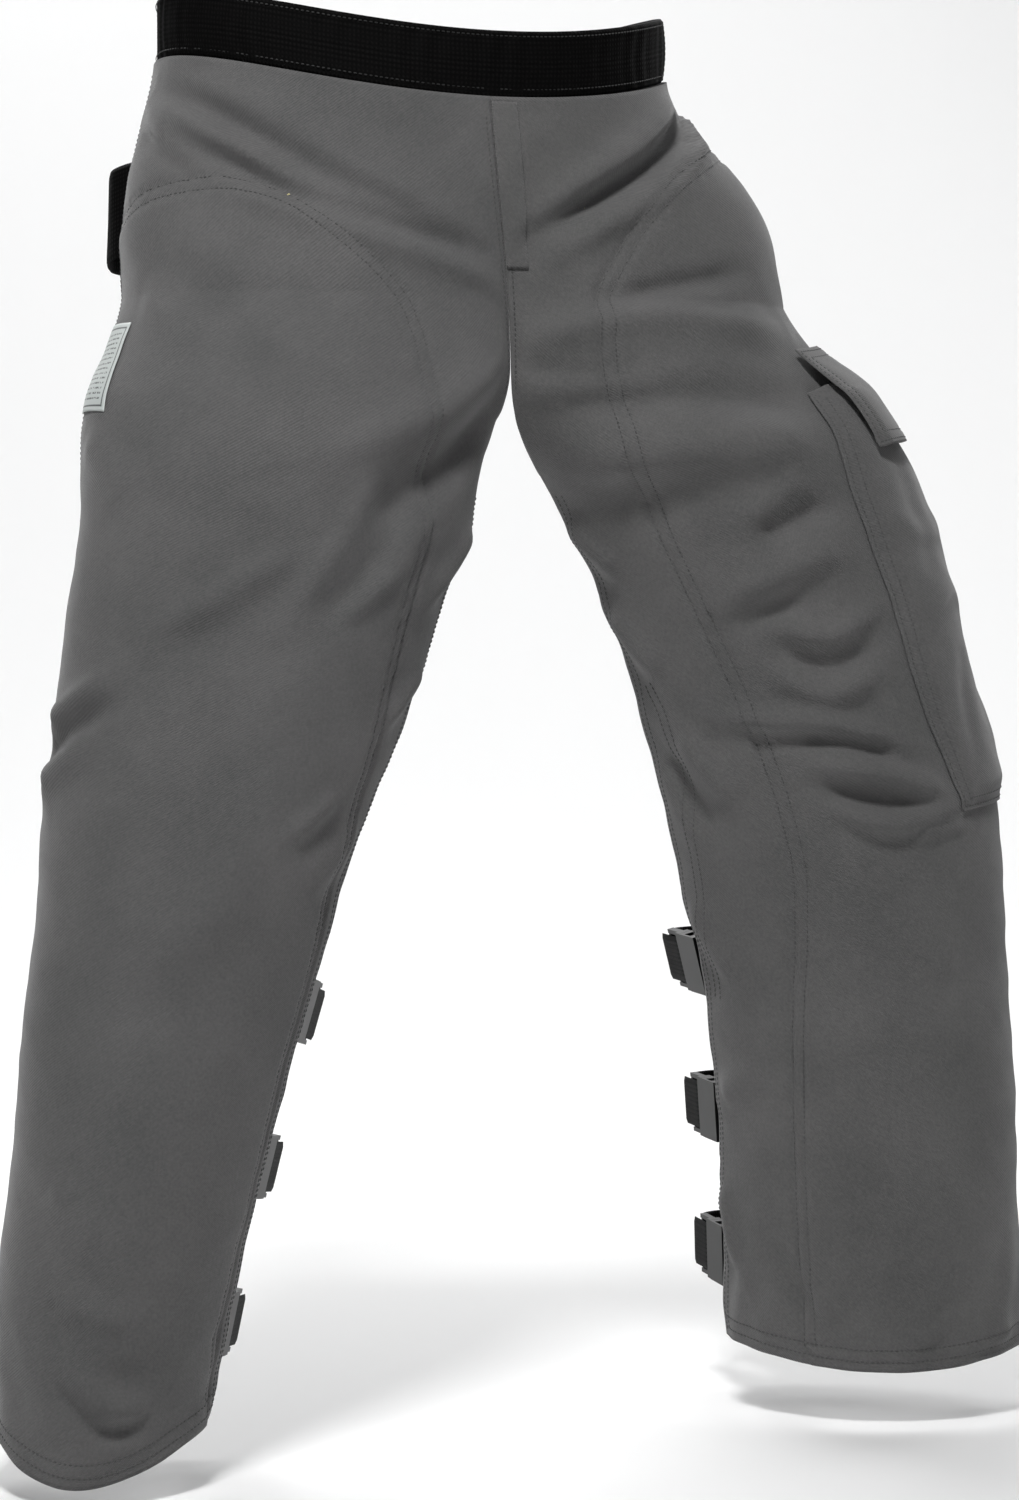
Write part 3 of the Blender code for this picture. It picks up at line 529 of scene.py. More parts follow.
# Printed satin ribbon: pale grey, with a thin dark frame and plain grey bars where words would be.
def makeLabel():
    material, tree, shader = newMaterial("printedSatin", Roughness=0.5, Sheen_Weight=0.1)
    uv = addNode(tree, "ShaderNodeUVMap", {"uv_map": "clothLength"})
    split = addNode(tree, "ShaderNodeSeparateXYZ", links={"Vector": (uv, "UV")})

    def test(operation, source, output, limit):
        return addNode(tree, "ShaderNodeMath", {"operation": operation}, {1: limit}, {0: (source, output)})

    def times(first, second):
        return addNode(tree, "ShaderNodeMath", {"operation": "MULTIPLY"}, links={0: (first, 0), 1: (second, 0)})

    def inside(low, high):
        fromLeft, toRight = test("GREATER_THAN", split, "X", low), test("LESS_THAN", split, "X", 1 - low)
        fromTop, toBottom = test("GREATER_THAN", split, "Y", high), test("LESS_THAN", split, "Y", 1 - high)
        return times(times(fromLeft, toRight), times(fromTop, toBottom))

    frameOuter, frameInner, words = inside(0.06, 0.05), inside(0.085, 0.07), inside(0.15, 0.12)
    line = addNode(tree, "ShaderNodeMath", {"operation": "SUBTRACT"},
                   links={0: (frameOuter, 0), 1: (frameInner, 0)})
    rows = addNode(tree, "ShaderNodeMath", {"operation": "PINGPONG"}, {1: 0.028}, {0: (split, "Y")})
    bar = test("GREATER_THAN", rows, 0, 0.018)
    breaks = addNode(tree, "ShaderNodeTexNoise", inputs={"Scale": 34.0, "Detail": 0.0},
                     links={"Vector": (uv, "UV")})
    gap = test("GREATER_THAN", breaks, "Fac", 0.47)
    ink = addNode(tree, "ShaderNodeMath", {"operation": "MAXIMUM"},
                  links={0: (line, 0), 1: (times(times(bar, gap), words), 0)})
    colour = addNode(tree, "ShaderNodeMix", {"data_type": "RGBA"}, links={0: (ink, 0)})
    colour.inputs[6].default_value = hexColour("#C3C9C7")
    colour.inputs[7].default_value = hexColour("#5C6160")
    tree.links.new(colour.outputs[2], shader.inputs["Base Color"])
    return material


canvas = makeCanvas("wovenCanvas", "#535353", "#646363")
liningCloth = makeCanvas("knittedLining", "#26262A", "#34343A", 0.0030, 0.6)
padCloth = makeCanvas("feltedPad", "#B9AF7C", "#D5CC9C", 0.0030, 0.6)
bandElastic = makeWebbing("ribbedElastic", "#030303", "#0E0D0D", 0.0028, 0.75)
nylonWebbing = makeWebbing("nylonWebbing", "#050505", "#161616", 0.0020, 0.6)
acetal = makeAcetal()
greyThread = makeThread("greyThread", ("#3A3A3A", "#4E4E4E"))
blackThread = makeThread("blackThread", ("#0B0B0B", "#1A1A1A"))
touchTape = makeTouchTape()
satin = makeLabel()
print("materials made")


stitch = {"pitch": 0.0034, "length": 0.0025, "radius": 0.00038}


# Each stitch is a grain with two four-sided rings and two pointed ends, set along a line of points.
def stitchMesh(name, lines):
    pieces = []
    for points, normals in lines:
        run = np.concatenate([[0], np.cumsum(np.linalg.norm(np.diff(points, axis=0), axis=1))])
        places = np.arange(stitch["pitch"] / 2, run[-1], stitch["pitch"])
        if len(places) == 0:
            continue
        centre = np.stack([np.interp(places, run, points[:, k]) for k in range(3)], -1)
        ahead = np.stack([np.interp(places + 0.0005, run, points[:, k]) for k in range(3)], -1)
        before = np.stack([np.interp(places - 0.0005, run, points[:, k]) for k in range(3)], -1)
        out = np.stack([np.interp(places, run, normals[:, k]) for k in range(3)], -1)
        way = ahead - before
        way /= np.maximum(np.linalg.norm(way, axis=1, keepdims=True), 1e-12)
        out -= way * (out * way).sum(1, keepdims=True)
        out /= np.maximum(np.linalg.norm(out, axis=1, keepdims=True), 1e-12)
        pieces.append((centre, way, out))
    centre, way, out = (np.concatenate(part) for part in zip(*pieces))
    side = np.cross(way, out)
    half, r = stitch["length"] / 2, stitch["radius"]
    corners = [centre - way * half - out * r * 0.6]
    for place in (-0.55, 0.55):
        for a, b in ((1, 0), (0, 1), (-1, 0), (0, -1)):
            corners.append(centre + way * half * place + out * r * (a + 0.2) + side * r * 1.2 * b)
    corners.append(centre + way * half - out * r * 0.6)
    points = np.stack(corners, 1)
    shape = [(0, 1 + (k + 1) % 4, 1 + k) for k in range(4)]
    shape += [(1 + k, 1 + (k + 1) % 4, 5 + (k + 1) % 4) for k in range(4)]
    shape += [(1 + k, 5 + (k + 1) % 4, 5 + k) for k in range(4)]
    shape += [(9, 5 + k, 5 + (k + 1) % 4) for k in range(4)]
    faces = (np.array(shape)[None] + (np.arange(len(centre)) * 10)[:, None, None]).reshape(-1, 3)
    return meshFrom(name, points.reshape(-1, 3), faces, smooth=False)


# A sewing line over the cloth, from waypoints in (u, t), moved sideways by shift metres.
def seamLine(leg, waypoints, shift=0.0, offset=0.0001, count=None):
    line = smoothLine(waypoints, count or 40 * len(waypoints))
    flat = line * flatScale
    way = np.gradient(flat, axis=0)
    way /= np.maximum(np.linalg.norm(way, axis=1, keepdims=True), 1e-12)
    flat = flat + np.stack([-way[:, 1], way[:, 0]], -1) * shift
    u, t = (flat / flatScale).T
    kept = (u >= 0.004) & (u <= 0.996) & (t >= 0.002) & (t <= 0.998)
    u, t = u[kept], t[kept]
    return onCloth(leg, u, t, offset), outward(leg, u, t)


def fixed(piece, body="root"):
    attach(piece, body)
    return piece


shellSize = (145, 295)
for leg in legs:
    shell = clothPiece(f"shell_{leg}", leg, (0, 1), (0, 1), shellSize, 0.0, -cloth["shell"], canvas)
    fixed(shell)
    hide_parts(f"leg_shell_{leg}")
    padOuter = -cloth["shell"] - cloth["gap"]
    padInner = padOuter - cloth["pad"]
    pad = clothPiece(f"pad_{leg}", leg, (0.085, 0.915), (0.082, 0.958), (60, 150), padOuter, padInner, padCloth)
    fixed(pad)
    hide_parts(f"cut_pad_{leg}")
    liningOuter = padInner - cloth["gap"]
    lining = clothPiece(f"lining_{leg}", leg, (0.004, 0.996), (0.012, 0.997), (90, 200), liningOuter,
                        liningOuter - cloth["lining"], liningCloth)
    fixed(lining)
    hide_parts(f"leg_lining_{leg}")
    print("panel", leg, "made")


# ribbon: a flat profile with rounded edges carried along a path, square to it; uv runs along and across.
def ribbonMesh(name, path, widths, thick, halfWidth, columns=11, stretch=6, wave=0.0):
    count = stretch * (len(path) - 1) + 1
    path, widths = smoothLine(path, count), smoothLine(widths, count)
    forward = np.gradient(path, axis=0)
    forward /= np.linalg.norm(forward, axis=1, keepdims=True)
    widths = widths - forward * (widths * forward).sum(1, keepdims=True)
    widths /= np.linalg.norm(widths, axis=1, keepdims=True)
    out = np.cross(forward, widths)
    run = np.concatenate([[0], np.cumsum(np.linalg.norm(np.diff(path, axis=0), axis=1))])
    across = np.linspace(-1, 1, columns)
    round_ = np.sqrt(np.clip(1 - np.abs(across) ** 14, 0, 1)) * 0.5 + 1e-4
    profile = np.concatenate([np.stack([across, round_], -1), np.stack([across[::-1], -round_[::-1]], -1)])
    ripple = wave * np.sin(run * 2 * np.pi / 0.021)[:, None] * np.sin(profile[:, 0] * 2.2 + 0.6)[None]
    points = path[:, None] + widths[:, None] * (profile[None, :, :1] * halfWidth)
    points = points + out[:, None] * (profile[None, :, 1:] * thick + ripple[..., None])
    rows, size = len(run), len(profile)
    number = np.arange(rows * size).reshape(rows, size)
    after = np.roll(number, -1, axis=1)
    sides = np.stack([number[:-1], after[:-1], after[1:], number[1:]], -1).reshape(-1, 4)
    lower, upper = np.arange(columns - 1), size - 1 - np.arange(columns - 1)
    caps = [np.stack([row[lower], row[upper], row[upper - 1], row[lower + 1]], -1) for row in number[[0, -1]]]
    uv = np.stack(np.broadcast_arrays(run[:, None], (profile[None, :, 0] + 1) * halfWidth), -1)
    return meshFrom(name, points.reshape(-1, 3), np.concatenate([sides, *caps]), uv.reshape(-1, 2))


# Hermite curve: leaves start along startWay and reaches end along endWay.
def hermite(start, startWay, end, endWay, count):
    reach = np.linalg.norm(np.subtract(end, start)) * 1.15
    s = np.linspace(0, 1, count)[:, None]
    return (
        (2 * s**3 - 3 * s**2 + 1) * start
        + (s**3 - 2 * s**2 + s) * reach * startWay
        + (3 * s**2 - 2 * s**3) * end
        + (s**3 - s**2) * reach * endWay
    )


def unit(vector):
    return vector / np.linalg.norm(vector)


def mixed(first, second, share):
    return unit(first * (1 - share) + second * share)


# Where a strap leaves a panel, on the smooth surface: overlap point, edge point, way on, across and out.
def panelEnd(leg, row, atInner, offset):
    t = (row + 0.5) / strap["gridRows"]
    step = 1 / strap["gridColumns"]
    edge, back = (0.0, step) if atInner else (1.0, 1 - step)
    u = np.array([edge, back])
    points = onLeg(leg, u, np.full(2, t)) + outward(leg, u, np.full(2, t)) * offset
    edgePoint, overlap = points
    across = unit(onLeg(leg, edge, t - 0.02) - onLeg(leg, edge, t + 0.02))
    way = edgePoint - overlap
    way = unit(way - across * np.dot(way, across))
    out = outward(leg, np.array(edge), np.array(t))
    out = out - across * np.dot(out, across)
    out = unit(out - way * np.dot(out, way))
    return overlap, edgePoint, way, across, out


def localPoints(place, pairs):
    origin, way, out, _ = place
    return [origin + way * s * 0.001 + out * n * 0.001 for s, n in pairs]


# One buckled strap: the short webbing loops the socket's bar, the long one the plug's and runs to the panel.
def makeStrap(tag, start, end, place, startCount):
    _, way, _, across = place
    overlap, edgePoint, edgeWay, edgeAcross, _ = start
    lead = [overlap, edgePoint]
    if startCount:
        lead += list(hermite(edgePoint, edgeWay, localPoints(place, [(2, 0)])[0], way, startCount))[1:]
    loop = [(6, 0.8), (9.5, 2.5), (17.6, 2.5), (18.9, 1.2), (18.9, -1.2), (17.6, -2.5), (8, -2.5)]
    shortPath = lead + localPoints(place, loop)
    share = np.arange(len(lead)) / (len(lead) - 1) if startCount else np.ones(2)
    shortAcross = [mixed(edgeAcross, across, s) for s in share] + [across] * len(loop)
    short = newObject(f"strap_short_{tag}", ribbonMesh(f"strap_short_{tag}", shortPath, shortAcross,
                      strap["thick"], strap["halfWidth"]), nylonWebbing)
    fixed(short)
    loop = [(92, 2.5), (77, 2.5), (63.6, 2.5), (62.2, 1.2), (62.2, -1.2), (63.6, -2.5), (77, -2.5), (86, -2.5)]
    longPath = localPoints(place, loop)
    farOverlap, farEdge, farWay, farAcross, _ = end
    longPath += list(hermite(longPath[-1], way, farEdge, -farWay, 12)[1:]) + [farOverlap]
    turns = len(longPath) - 8
    longAcross = [across] * 8 + [mixed(across, farAcross, (i + 1) / turns) for i in range(turns)]
    long = newObject(f"strap_long_{tag}", ribbonMesh(f"strap_long_{tag}", longPath, longAcross,
                     strap["thick"], strap["halfWidth"]), nylonWebbing)
    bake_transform(long)
    for piece, kind in ((short, "short"), (long, "long")):
        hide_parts(f"webbing_{kind}_{tag}")


# The halves of each buckle: the solid's own shape, its points merged and its edges rounded.
def makeBuckleHalf(kind, tag, body):
    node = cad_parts[f"buckle_{kind}_{tag}"]
    mesh = node.data.copy()
    shape = bmesh.new()
    shape.from_mesh(mesh)
    bmesh.ops.remove_doubles(shape, verts=shape.verts, dist=1e-5)
    bmesh.ops.dissolve_limit(shape, angle_limit=math.radians(2), verts=shape.verts, edges=shape.edges)
    shape.to_mesh(mesh)
    shape.free()
    half = newObject(f"{kind}_moulding_{tag}", mesh, acetal)
    soften = half.modifiers.new("edges", "BEVEL")
    soften.width, soften.segments, soften.limit_method = 0.0006, 2, "ANGLE"
    soften.angle_limit = math.radians(30)
    soften.harden_normals = False
    mesh.polygons.foreach_set("use_smooth", np.zeros(len(mesh.polygons), bool))
    fixed(half, body)
    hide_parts(node.name)


def waistPoint(angle, radiusOffset, zOffset):
    angle = np.asarray(angle, float)
    sideWidth = 0.1755 + 0.0045 * np.tanh(6 * np.sin(angle))
    x = (sideWidth + radiusOffset) * np.sin(angle)
    y = -(0.120 + radiusOffset) * np.cos(angle)
    return np.stack(np.broadcast_arrays(x, y, bandEdge(angle) + zOffset), -1)


# Waistband: its height is carried round the waist's oval, with knitted ribs and soft rolled edges.
def makeWaistband():
    angles = np.radians(np.linspace(-band["wrap"], band["wrap"], 361))
    down = np.linspace(0, 1, 45)
    angle, drop = np.meshgrid(angles, down)
    rib = 0.00035 * np.abs(np.sin(drop * np.pi * 12)) ** 0.7
    gathers = 0.00045 * np.sin(angle * 61 + 2.2 * np.sin(drop * 3)) * np.sin(angle * 9 + 1)
    roll = smoothStep(0, 0.05, drop) * smoothStep(0, 0.05, 1 - drop)
    bow = 0.0010 * np.sin(drop * np.pi) + 0.0012 * np.sin(angle * 5 + 1.3) * np.sin(drop * np.pi)
    half = band["thick"] / 2 * (0.45 + 0.55 * roll)
    height = -(band["height"] + band["reach"]) * drop
    outer = waistPoint(angle, half + (rib + gathers) * roll + bow, height)
    inner = waistPoint(angle, -half + bow * 0.5, height)
    uv = np.stack([angle.ravel() * 0.16, drop.ravel() * band["height"]], -1)
    piece = newObject("elastic_waistband", blockMesh("elastic_waistband", outer, inner, uv), bandElastic)
    fixed(piece)
    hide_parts("waistband")


def makeWaistStrap():
    inside = -band["thick"] / 2 - 0.0008 - strap["thick"] / 2
    middle = -band["height"] / 2
    up = np.array([0.0, 0.0, 1.0])
    ends = []
    for sign in (-1, 1):
        last, before = math.radians(sign * band["wrap"]), math.radians(sign * (band["wrap"] - 7.87))
        edgePoint, overlap = waistPoint(last, inside, middle), waistPoint(before, inside, middle)
        ends.append((overlap, edgePoint, unit(edgePoint - overlap), up, None))
    back = waistPoint(math.pi, 0, middle)
    way, out = np.array([1.0, 0, 0]), np.array([0, 1.0, 0])
    makeStrap("waist", ends[0], ends[1], (back - way * 0.050, way, out, up), 6)


def makeLegStraps():
    offset = -0.00744 - 0.0024 - strap["thick"] / 2
    for leg in legs:
        for number, row in enumerate(strap["rows"], 1):
            start, end = panelEnd(leg, row, True, offset), panelEnd(leg, row, False, offset)
            _, edgePoint, way, across, out = start
            axis = Vector(np.cross(way, out))
            inward = np.array(Matrix.Rotation(math.radians(-6), 3, axis) @ Vector(way))
            out = unit(np.cross(inward, across))
            if np.dot(out, start[4]) < 0:
                out = -out
            makeStrap(f"{leg}_{number}", start, end, (edgePoint, inward, out, np.cross(inward, out)), 0)


# Wide elastic across the seat: it stands out a little where it leaves each panel.
seatStrap = {"standOut": 0.021, "inset": 0.0130, "halfWidth": 0.032, "flare": 30, "clear": 0.0015, "row": 2}


def turned(vector, degrees):
    return np.array(Matrix.Rotation(math.radians(degrees), 3, "Z") @ Vector(vector))


def makeSeatStrap():
    offset = -seatStrap["inset"] - strap["thick"] / 2
    start, end = (panelEnd(leg, seatStrap["row"], False, offset) for leg in ("right", "left"))
    topBack = np.array([0.012, 0.118, (start[1][2] + end[1][2]) / 2 - 0.004])
    way, up = np.array([1.0, 0, 0]), np.array([0, 0, 1.0])
    clear, flare = seatStrap["clear"], seatStrap["flare"]
    first = hermite(start[1] + start[2] * clear, turned(start[2], flare), topBack, way, 9)
    second = hermite(topBack, way, end[1] + end[2] * clear, -turned(end[2], -flare), 9)[1:]
    path = np.concatenate([first, second])
    share = np.linspace(0, 1, len(path))[:, None]
    bulge = np.cross(np.gradient(path, axis=0), up)
    bulge /= -np.linalg.norm(bulge, axis=1, keepdims=True)
    nearEnd = np.minimum(share, 1 - share) / 0.28
    path = path + bulge * seatStrap["standOut"] * np.sin(np.clip(nearEnd, 0, 1) * np.pi) ** 0.7
    widths = [start[3], mixed(start[3], up, 0.5)] + [up] * (len(path) - 4) + [mixed(up, end[3], 0.5), end[3]]
    mesh = ribbonMesh("seat_elastic", path, widths, strap["thick"], seatStrap["halfWidth"], 21, 10, 0.00025)
    piece = fixed(newObject("seat_elastic", mesh, bandElastic))
    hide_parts("seat_strap")


# Pocket: a patch whose sides stand away from the leg, full in the middle and open at its mouth.
pocket = {"frontTop": 0.555, "frontBottom": 0.640, "backTop": 0.930, "backBottom": 0.975,
          "t": (0.245, 0.572), "depth": 0.0065, "seam": 0.0022, "cloth": 0.0012}
pocketFolds = [
    ([(0.06, 0.30), (0.40, 0.36), (0.80, 0.33)], 10, 2.2),
    ([(0.10, 0.55), (0.50, 0.50), (0.92, 0.58)], 12, 2.4),
    ([(0.20, 0.90), (0.34, 0.72), (0.46, 0.62)], 9, -2.0),
    ([(0.62, 0.92), (0.70, 0.78), (0.86, 0.70)], 9, 2.0),
    ([(0.30, 0.14), (0.36, 0.30), (0.30, 0.48)], 11, -1.8),
    ([(0.72, 0.12), (0.66, 0.34), (0.74, 0.52)], 10, 1.8),
]


# p runs from the pocket's front edge to its back one, q from its mouth to its foot; the edges slant.
def pocketPlace(p, q):
    bow = 0.012 * np.sin(np.clip(q, 0, 1) * np.pi)
    front = pocket["frontTop"] + (pocket["frontBottom"] - pocket["frontTop"]) * q**1.6 - bow
    back = pocket["backTop"] + (pocket["backBottom"] - pocket["backTop"]) * q
    return front + (back - front) * p, pocket["t"][0] + (pocket["t"][1] - pocket["t"][0]) * q


def pocketRise(p, q):
    fromSide = np.minimum(p, 1 - p) * 0.125
    fromBottom = (1 - q) * 0.283
    wall = smoothStep(0.0, 0.013, fromSide) * smoothStep(0.0, 0.016, fromBottom)
    crown = 0.80 + 0.20 * np.sin(np.clip(p, 0, 1) * np.pi) * np.sin(np.clip(q * 0.8 + 0.15, 0, 1) * np.pi)
    rise = pocket["seam"] + pocket["depth"] * wall * crown
    crease = np.zeros(p.shape)
    for points, width, height in pocketFolds:
        scaled = smoothLine(points, 30) * np.array([0.125, 0.283]) / flatScale
        distance, place = lineDistance(p * 0.125 / flatScale[0], q * 0.283 / flatScale[1], scaled)
        ends = smoothStep(0, 0.3, place) * smoothStep(0, 0.3, 1 - place)
        crease += height * 0.001 * np.exp(-((distance / (width * 0.001)) ** 2)) * (0.2 + 0.8 * ends)
    return rise + crease * wall


def makePocket():
    p, q = gridOf((0, 1), (0, 1), 81, 171)
    u, t = pocketPlace(p, q)
    lift = pocketRise(p, q) + reliefAt("left", u, t)
    base = onLeg("left", u, t)
    normal = outward("left", u, t)
    outer = base + normal * lift[..., None]
    inner = base + normal * (lift - pocket["cloth"])[..., None]
    uv = np.stack([u.ravel() * panel["acrossLength"], t.ravel() * panel["downLength"]], -1)
    piece = fixed(newObject("bellows_pocket", blockMesh("bellows_pocket", outer, inner, uv), canvas))
    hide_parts("cargo_pocket")
    return piece


# Flap: two cloth layers sewn together, its top edge on the leg, its free edge standing over the mouth.
flapCut = {"u": (0.571, 0.949), "t": (0.216, 0.296), "thick": 0.0022}


def flapRise(p, q):
    t = flapCut["t"][0] + (flapCut["t"][1] - flapCut["t"][0]) * q
    rise = 0.0026 + 0.0115 * smoothStep(0.202, 0.262, t)
    rise += 0.0014 * np.sin(p * 7.0 + 0.8) * smoothStep(0.3, 1.0, q)
    return rise - 0.0030 * smoothStep(0.10, 0.0, np.minimum(p, 1 - p)) * smoothStep(0.35, 1, q)


def flapPoint(p, q, offset):
    u = flapCut["u"][0] + 0.055 * q + (flapCut["u"][1] - flapCut["u"][0]) * p * (1 - 0.03 * q)
    t = flapCut["t"][0] + (flapCut["t"][1] - flapCut["t"][0]) * q
    rim = np.minimum(np.minimum(p, 1 - p) * 0.127, np.minimum(q, 1 - q) * 0.069)
    soft = 1 - 0.7 * smoothStep(0.0022, 0.0, rim)
    groove = -0.0004 * np.exp(-(((rim - 0.0075) / 0.0016) ** 2)) - 0.0004 * np.exp(-(((rim - 0.0025) / 0.0014) ** 2))
    lift = flapRise(p, q) + reliefAt("left", u, t) + (offset * soft) + (groove if np.ndim(offset) == 0 and offset > 0 else 0)
    return onLeg("left", u, t) + outward("left", u, t) * lift[..., None]


# Bakes the piece's transform into its mesh. The points on the flap's middle line at its sewn top edge and 22 mm
# below it are worked out but not used, so nothing turns with the flap.
def foldAtHinge(piece):
    ends = [flapPoint(np.array([0.5]), np.array([q]), 0.0)[0] for q in (0.02, 0.34)]
    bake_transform(piece)


def makeFlap():
    p, q = gridOf((0, 1), (0, 1), 91, 51)
    outer, inner = flapPoint(p, q, flapCut["thick"] / 2), flapPoint(p, q, -flapCut["thick"] / 2)
    uv = np.stack([p.ravel() * 0.127, q.ravel() * 0.069], -1)
    piece = newObject("pocket_flap_cover", blockMesh("pocket_flap_cover", outer, inner, uv), canvas)
    foldAtHinge(piece)
    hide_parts("cargo_flap")
    for name, node, body, low, high in (("hook_pile", "flap_hook_tape", "pocket_flap", -0.0032, -0.0022),
                                        ("loop_pile", "pocket_loop_tape", "root", 0.0, 0.0)):
        u, t = gridOf((0.668, 0.852), (0.268, 0.286), 41, 13)
        p = (u - flapCut["u"][0]) / (flapCut["u"][1] - flapCut["u"][0])
        q = (t - flapCut["t"][0]) / (flapCut["t"][1] - flapCut["t"][0])
        if body == "root":
            q = (t - pocket["t"][0]) / (pocket["t"][1] - pocket["t"][0])
            lift = pocketRise(np.full(u.shape, 0.5), q) + reliefAt("left", u, t)
            low, high = lift + 0.0001, lift + 0.0010
            faces = [onLeg("left", u, t) + outward("left", u, t) * k[..., None] for k in (high, low)]
        else:
            faces = [flapPoint(p, q, high), flapPoint(p, q, low)]
        tape = newObject(name, blockMesh(name, faces[0], faces[1]), touchTape)
        fixed(tape, body)
        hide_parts(node)


makeWaistband()
makeWaistStrap()
makeLegStraps()
makeSeatStrap()
for tag in ("waist", "left_1", "left_2", "left_3", "right_1", "right_2", "right_3"):
    makeBuckleHalf("socket", tag, "root")
    makeBuckleHalf("plug", tag, f"plug_{tag}")
makePocket()
makeFlap()
print("straps, buckles, pocket made")

placket = clothPiece("fly_facing", "left", (0.0, 0.047), (0.004, 0.134), (21, 60), 0.0014, 0.0003, canvas)
fixed(placket)
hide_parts("fly_placket")

labelSpan = {"u": (0.815, 0.965), "t": (0.205, 0.272)}
u, t = gridOf(labelSpan["u"], labelSpan["t"], 31, 41)
p, q = gridOf((0, 1), (0, 1), 31, 41)
lift = 0.0007 + 0.0004 * np.sin(p * 5 + 1) * np.sin(q * 4)
mesh = blockMesh("care_ribbon", onCloth("right", u, t, 0.0004 + lift), onCloth("right", u, t, lift - 0.0001),
                 np.stack([p.ravel(), 1 - q.ravel()], -1))
label = fixed(newObject("care_ribbon", mesh, satin))
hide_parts("care_label")

# Sewing lines on each panel: waypoints and the sideways places of their rows, in metres.
rows = (-0.004, 0.004)
seams = {
    "left": [
        (padSeam["left"], rows),
        ([(0.984, 0.005), (0.984, 0.20), (0.984, 0.4), (0.984, 0.6), (0.984, 0.8), (0.984, 0.995)], (0, 0.006)),
        ([(0.016, 0.31), (0.014, 0.5), (0.014, 0.7), (0.014, 0.9), (0.014, 0.995)], (0, -0.006)),
        ([(0.01, 0.992), (0.25, 0.992), (0.5, 0.992), (0.75, 0.992), (0.99, 0.992)], (0, -0.008)),
        ([(0.039, 0.006), (0.039, 0.05), (0.039, 0.09), (0.039, 0.129)], (0, 0.0022)),
        ([(0.006, 0.1300), (0.024, 0.1295), (0.044, 0.1290)], (0, 0.0012)),
        ([(0.012, 0.015), (0.012, 0.08), (0.012, 0.16), (0.012, 0.23)], (0,)),
        ([(0.064, 0.461), (0.088, 0.484), (0.100, 0.515), (0.104, 0.551), (0.096, 0.620), (0.064, 0.719)], rows),
            ],
    "right": [
        (padSeam["right"], rows),
        ([(0.984, 0.005), (0.984, 0.20), (0.984, 0.4), (0.984, 0.6), (0.984, 0.8), (0.984, 0.995)], (0, 0.006)),
        ([(0.016, 0.31), (0.014, 0.5), (0.014, 0.7), (0.014, 0.9), (0.014, 0.995)], (0, -0.006)),
        ([(0.01, 0.992), (0.25, 0.992), (0.5, 0.992), (0.75, 0.992), (0.99, 0.992)], (0, -0.008)),
        ([(0.012, 0.015), (0.012, 0.08), (0.012, 0.16), (0.012, 0.23)], (0,)),
    ],
}
for leg in legs:
    lines = [seamLine(leg, points, shift) for points, shifts in seams[leg] for shift in shifts]
    thread = fixed(newObject(f"stitches_{leg}", stitchMesh(f"stitches_{leg}", lines), greyThread))


def patchLine(points, surface, count=None):
    line = smoothLine(points, count or 40 * len(points))
    return surface(line[:, 0], line[:, 1])


def pocketFace(p, q):
    u, t = pocketPlace(p, q)
    normal = outward("left", u, t)
    return onLeg("left", u, t) + normal * (pocketRise(p, q) + reliefAt("left", u, t) + 0.0001)[:, None], normal


def flapFace(p, q):
    u = flapCut["u"][0] + (flapCut["u"][1] - flapCut["u"][0]) * p
    t = flapCut["t"][0] + (flapCut["t"][1] - flapCut["t"][0]) * q
    return flapPoint(p, q, flapCut["thick"] / 2), outward("left", u, t)


def straight(first, last):
    return [tuple(np.array(first) + (np.array(last) - first) * s) for s in np.linspace(0, 1, 4)]


pocketLines, flapLines = [], []
for inset in (0.0025, 0.0075):
    x, y = inset / 0.125, inset / 0.283
    for a, b in (((x, 0.02), (x, 1 - y)), ((1 - x, 0.02), (1 - x, 1 - y)), ((x, 1 - y), (1 - x, 1 - y))):
        pocketLines.append(patchLine(straight(a, b), pocketFace))
    x, y = inset / 0.127, inset / 0.069
    for a, b in (((x, y), (x, 1 - y)), ((1 - x, y), (1 - x, 1 - y)), ((x, 1 - y), (1 - x, 1 - y)),
                 ((x, y), (1 - x, y))):
        flapLines.append(patchLine(straight(a, b), flapFace))
thread = fixed(newObject("stitches_pocket", stitchMesh("stitches_pocket", pocketLines), greyThread))
thread = newObject("stitches_flap", stitchMesh("stitches_flap", flapLines), greyThread)
foldAtHinge(thread)

bandLines = []
for drop in (0.0035, 0.0375):
    angles = np.radians(np.linspace(-band["wrap"] + 1, band["wrap"] - 1, 400))
    points = waistPoint(angles, band["thick"] / 2 + 0.0008, -drop)
    normals = np.stack([np.sin(angles), -np.cos(angles), 0 * angles], -1)
    bandLines.append((points, normals))
thread = fixed(newObject("stitches_band", stitchMesh("stitches_band", bandLines), blackThread))
print("stitches made")

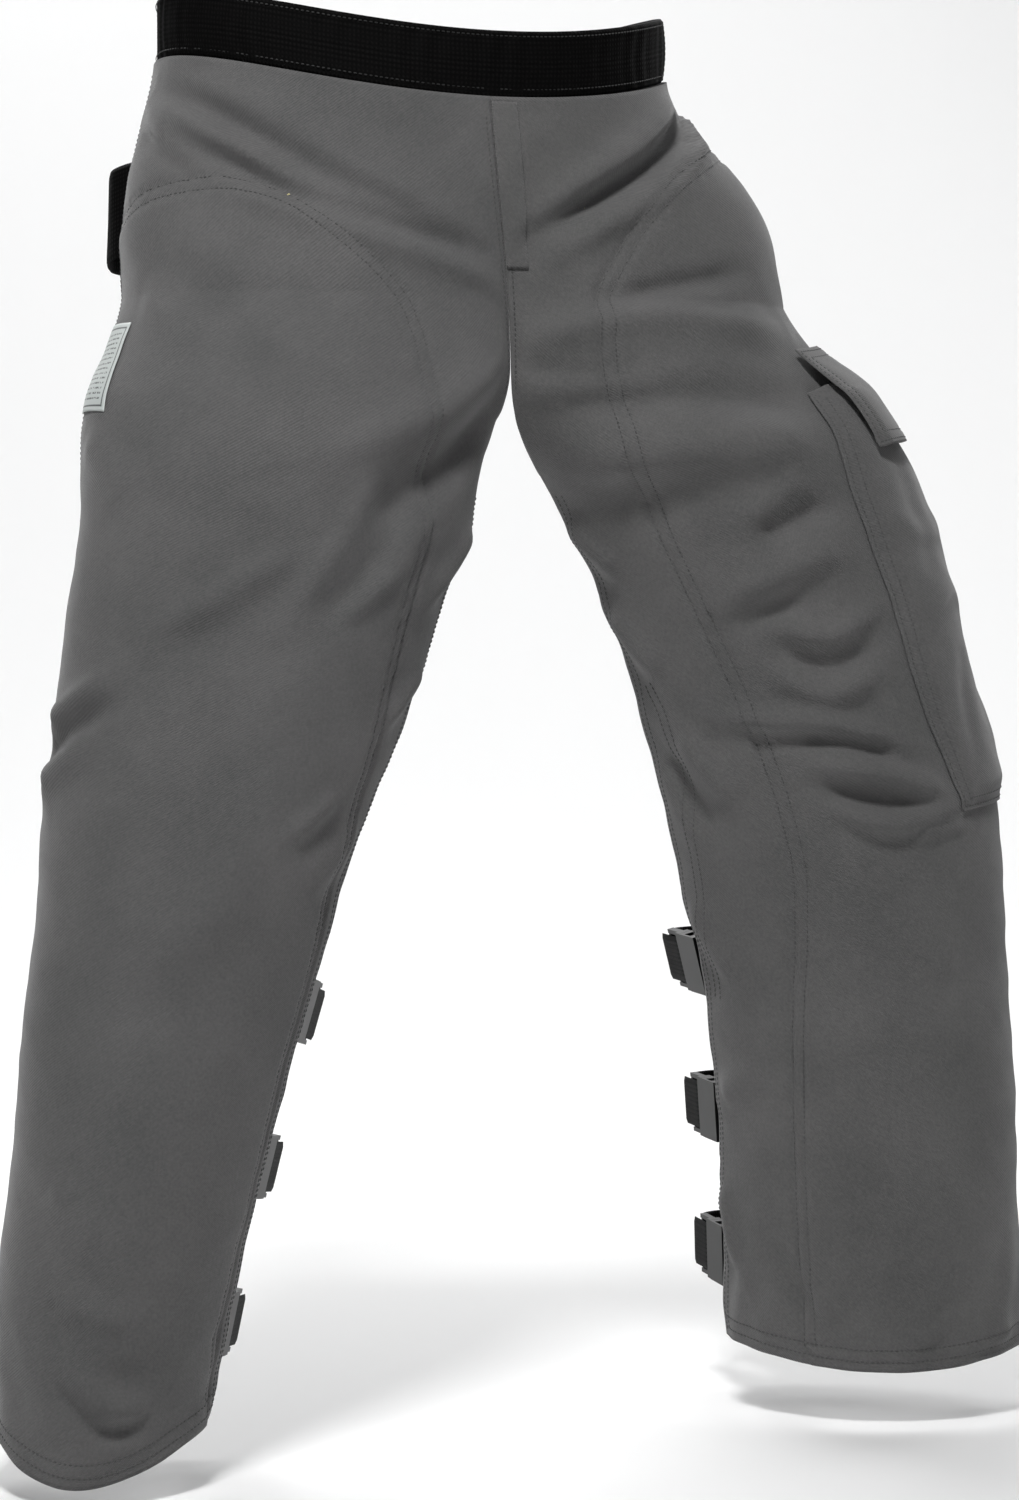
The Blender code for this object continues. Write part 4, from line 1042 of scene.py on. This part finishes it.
# Floor and backdrop: one sheet, level at first, then rising with the square of the distance behind.
studio = {"floorHeight": -0.942, "riseFrom": 1.4, "rise": 0.55}
side, back = np.meshgrid(np.linspace(-9, 9, 5), np.linspace(-6, 5.5, 150))
rising = np.maximum(0, back - studio["riseFrom"])
grid = np.stack([side, back, studio["floorHeight"] + studio["rise"] * rising**2], -1)
number = np.arange(grid.shape[0] * grid.shape[1]).reshape(grid.shape[:2])
cells = np.stack([number[:-1, :-1], number[:-1, 1:], number[1:, 1:], number[1:, :-1]], -1).reshape(-1, 4)
# Matt white paper.
paper, _, shader = newMaterial("mattPaper", Roughness=0.9)
shader.inputs["Base Color"].default_value = hexColour("#F7F7F7")
turn = Matrix.Rotation(math.radians(-27), 3, "Z")
points = grid.reshape(-1, 3) @ np.array(turn).T
floor = newObject("floor", meshFrom("floor", points, cells), paper)

light = {
    "key": ((-0.85, -1.25, 1.60), 0.45, 47.0), "fill": ((-2.6, -2.0, 0.9), 1.6, 5.0),
    "rim": ((2.2, 0.9, 1.2), 0.9, 14.0), "paper": ((0.9, 3.0, 2.6), 3.0, 190.0),
}
for name, (place, size, power) in light.items():
    lamp = bpy.data.lights.new(name, "AREA")
    lamp.size, lamp.energy = size, power
    holder = bpy.data.objects.new(name, lamp)
    bpy.context.scene.collection.objects.link(holder)
    holder.location = place
    holder.rotation_euler = (Vector((0, 0, -0.45)) - Vector(place)).to_track_quat("-Z", "Y").to_euler()
world = bpy.data.worlds.new("studio")
bpy.context.scene.world = world
world.use_nodes = True
world.node_tree.nodes["Background"].inputs["Color"].default_value = hexColour("#F2F4F6")
world.node_tree.nodes["Background"].inputs["Strength"].default_value = 0.10
bpy.context.scene.view_settings.view_transform = "Standard"

camera = bpy.data.objects.new("camera", bpy.data.cameras.new("camera"))
bpy.context.scene.collection.objects.link(camera)
bpy.context.scene.camera = camera
camera.data.lens, camera.data.sensor_width = 107.5, 36.0
camera.location = (-1.3014, -2.7039, -0.37)
pitch = math.radians(2.39)
look = Vector((0.454 * math.cos(pitch), 0.891 * math.cos(pitch), -math.sin(pitch)))
camera.rotation_euler = look.to_track_quat("-Z", "Y").to_euler()
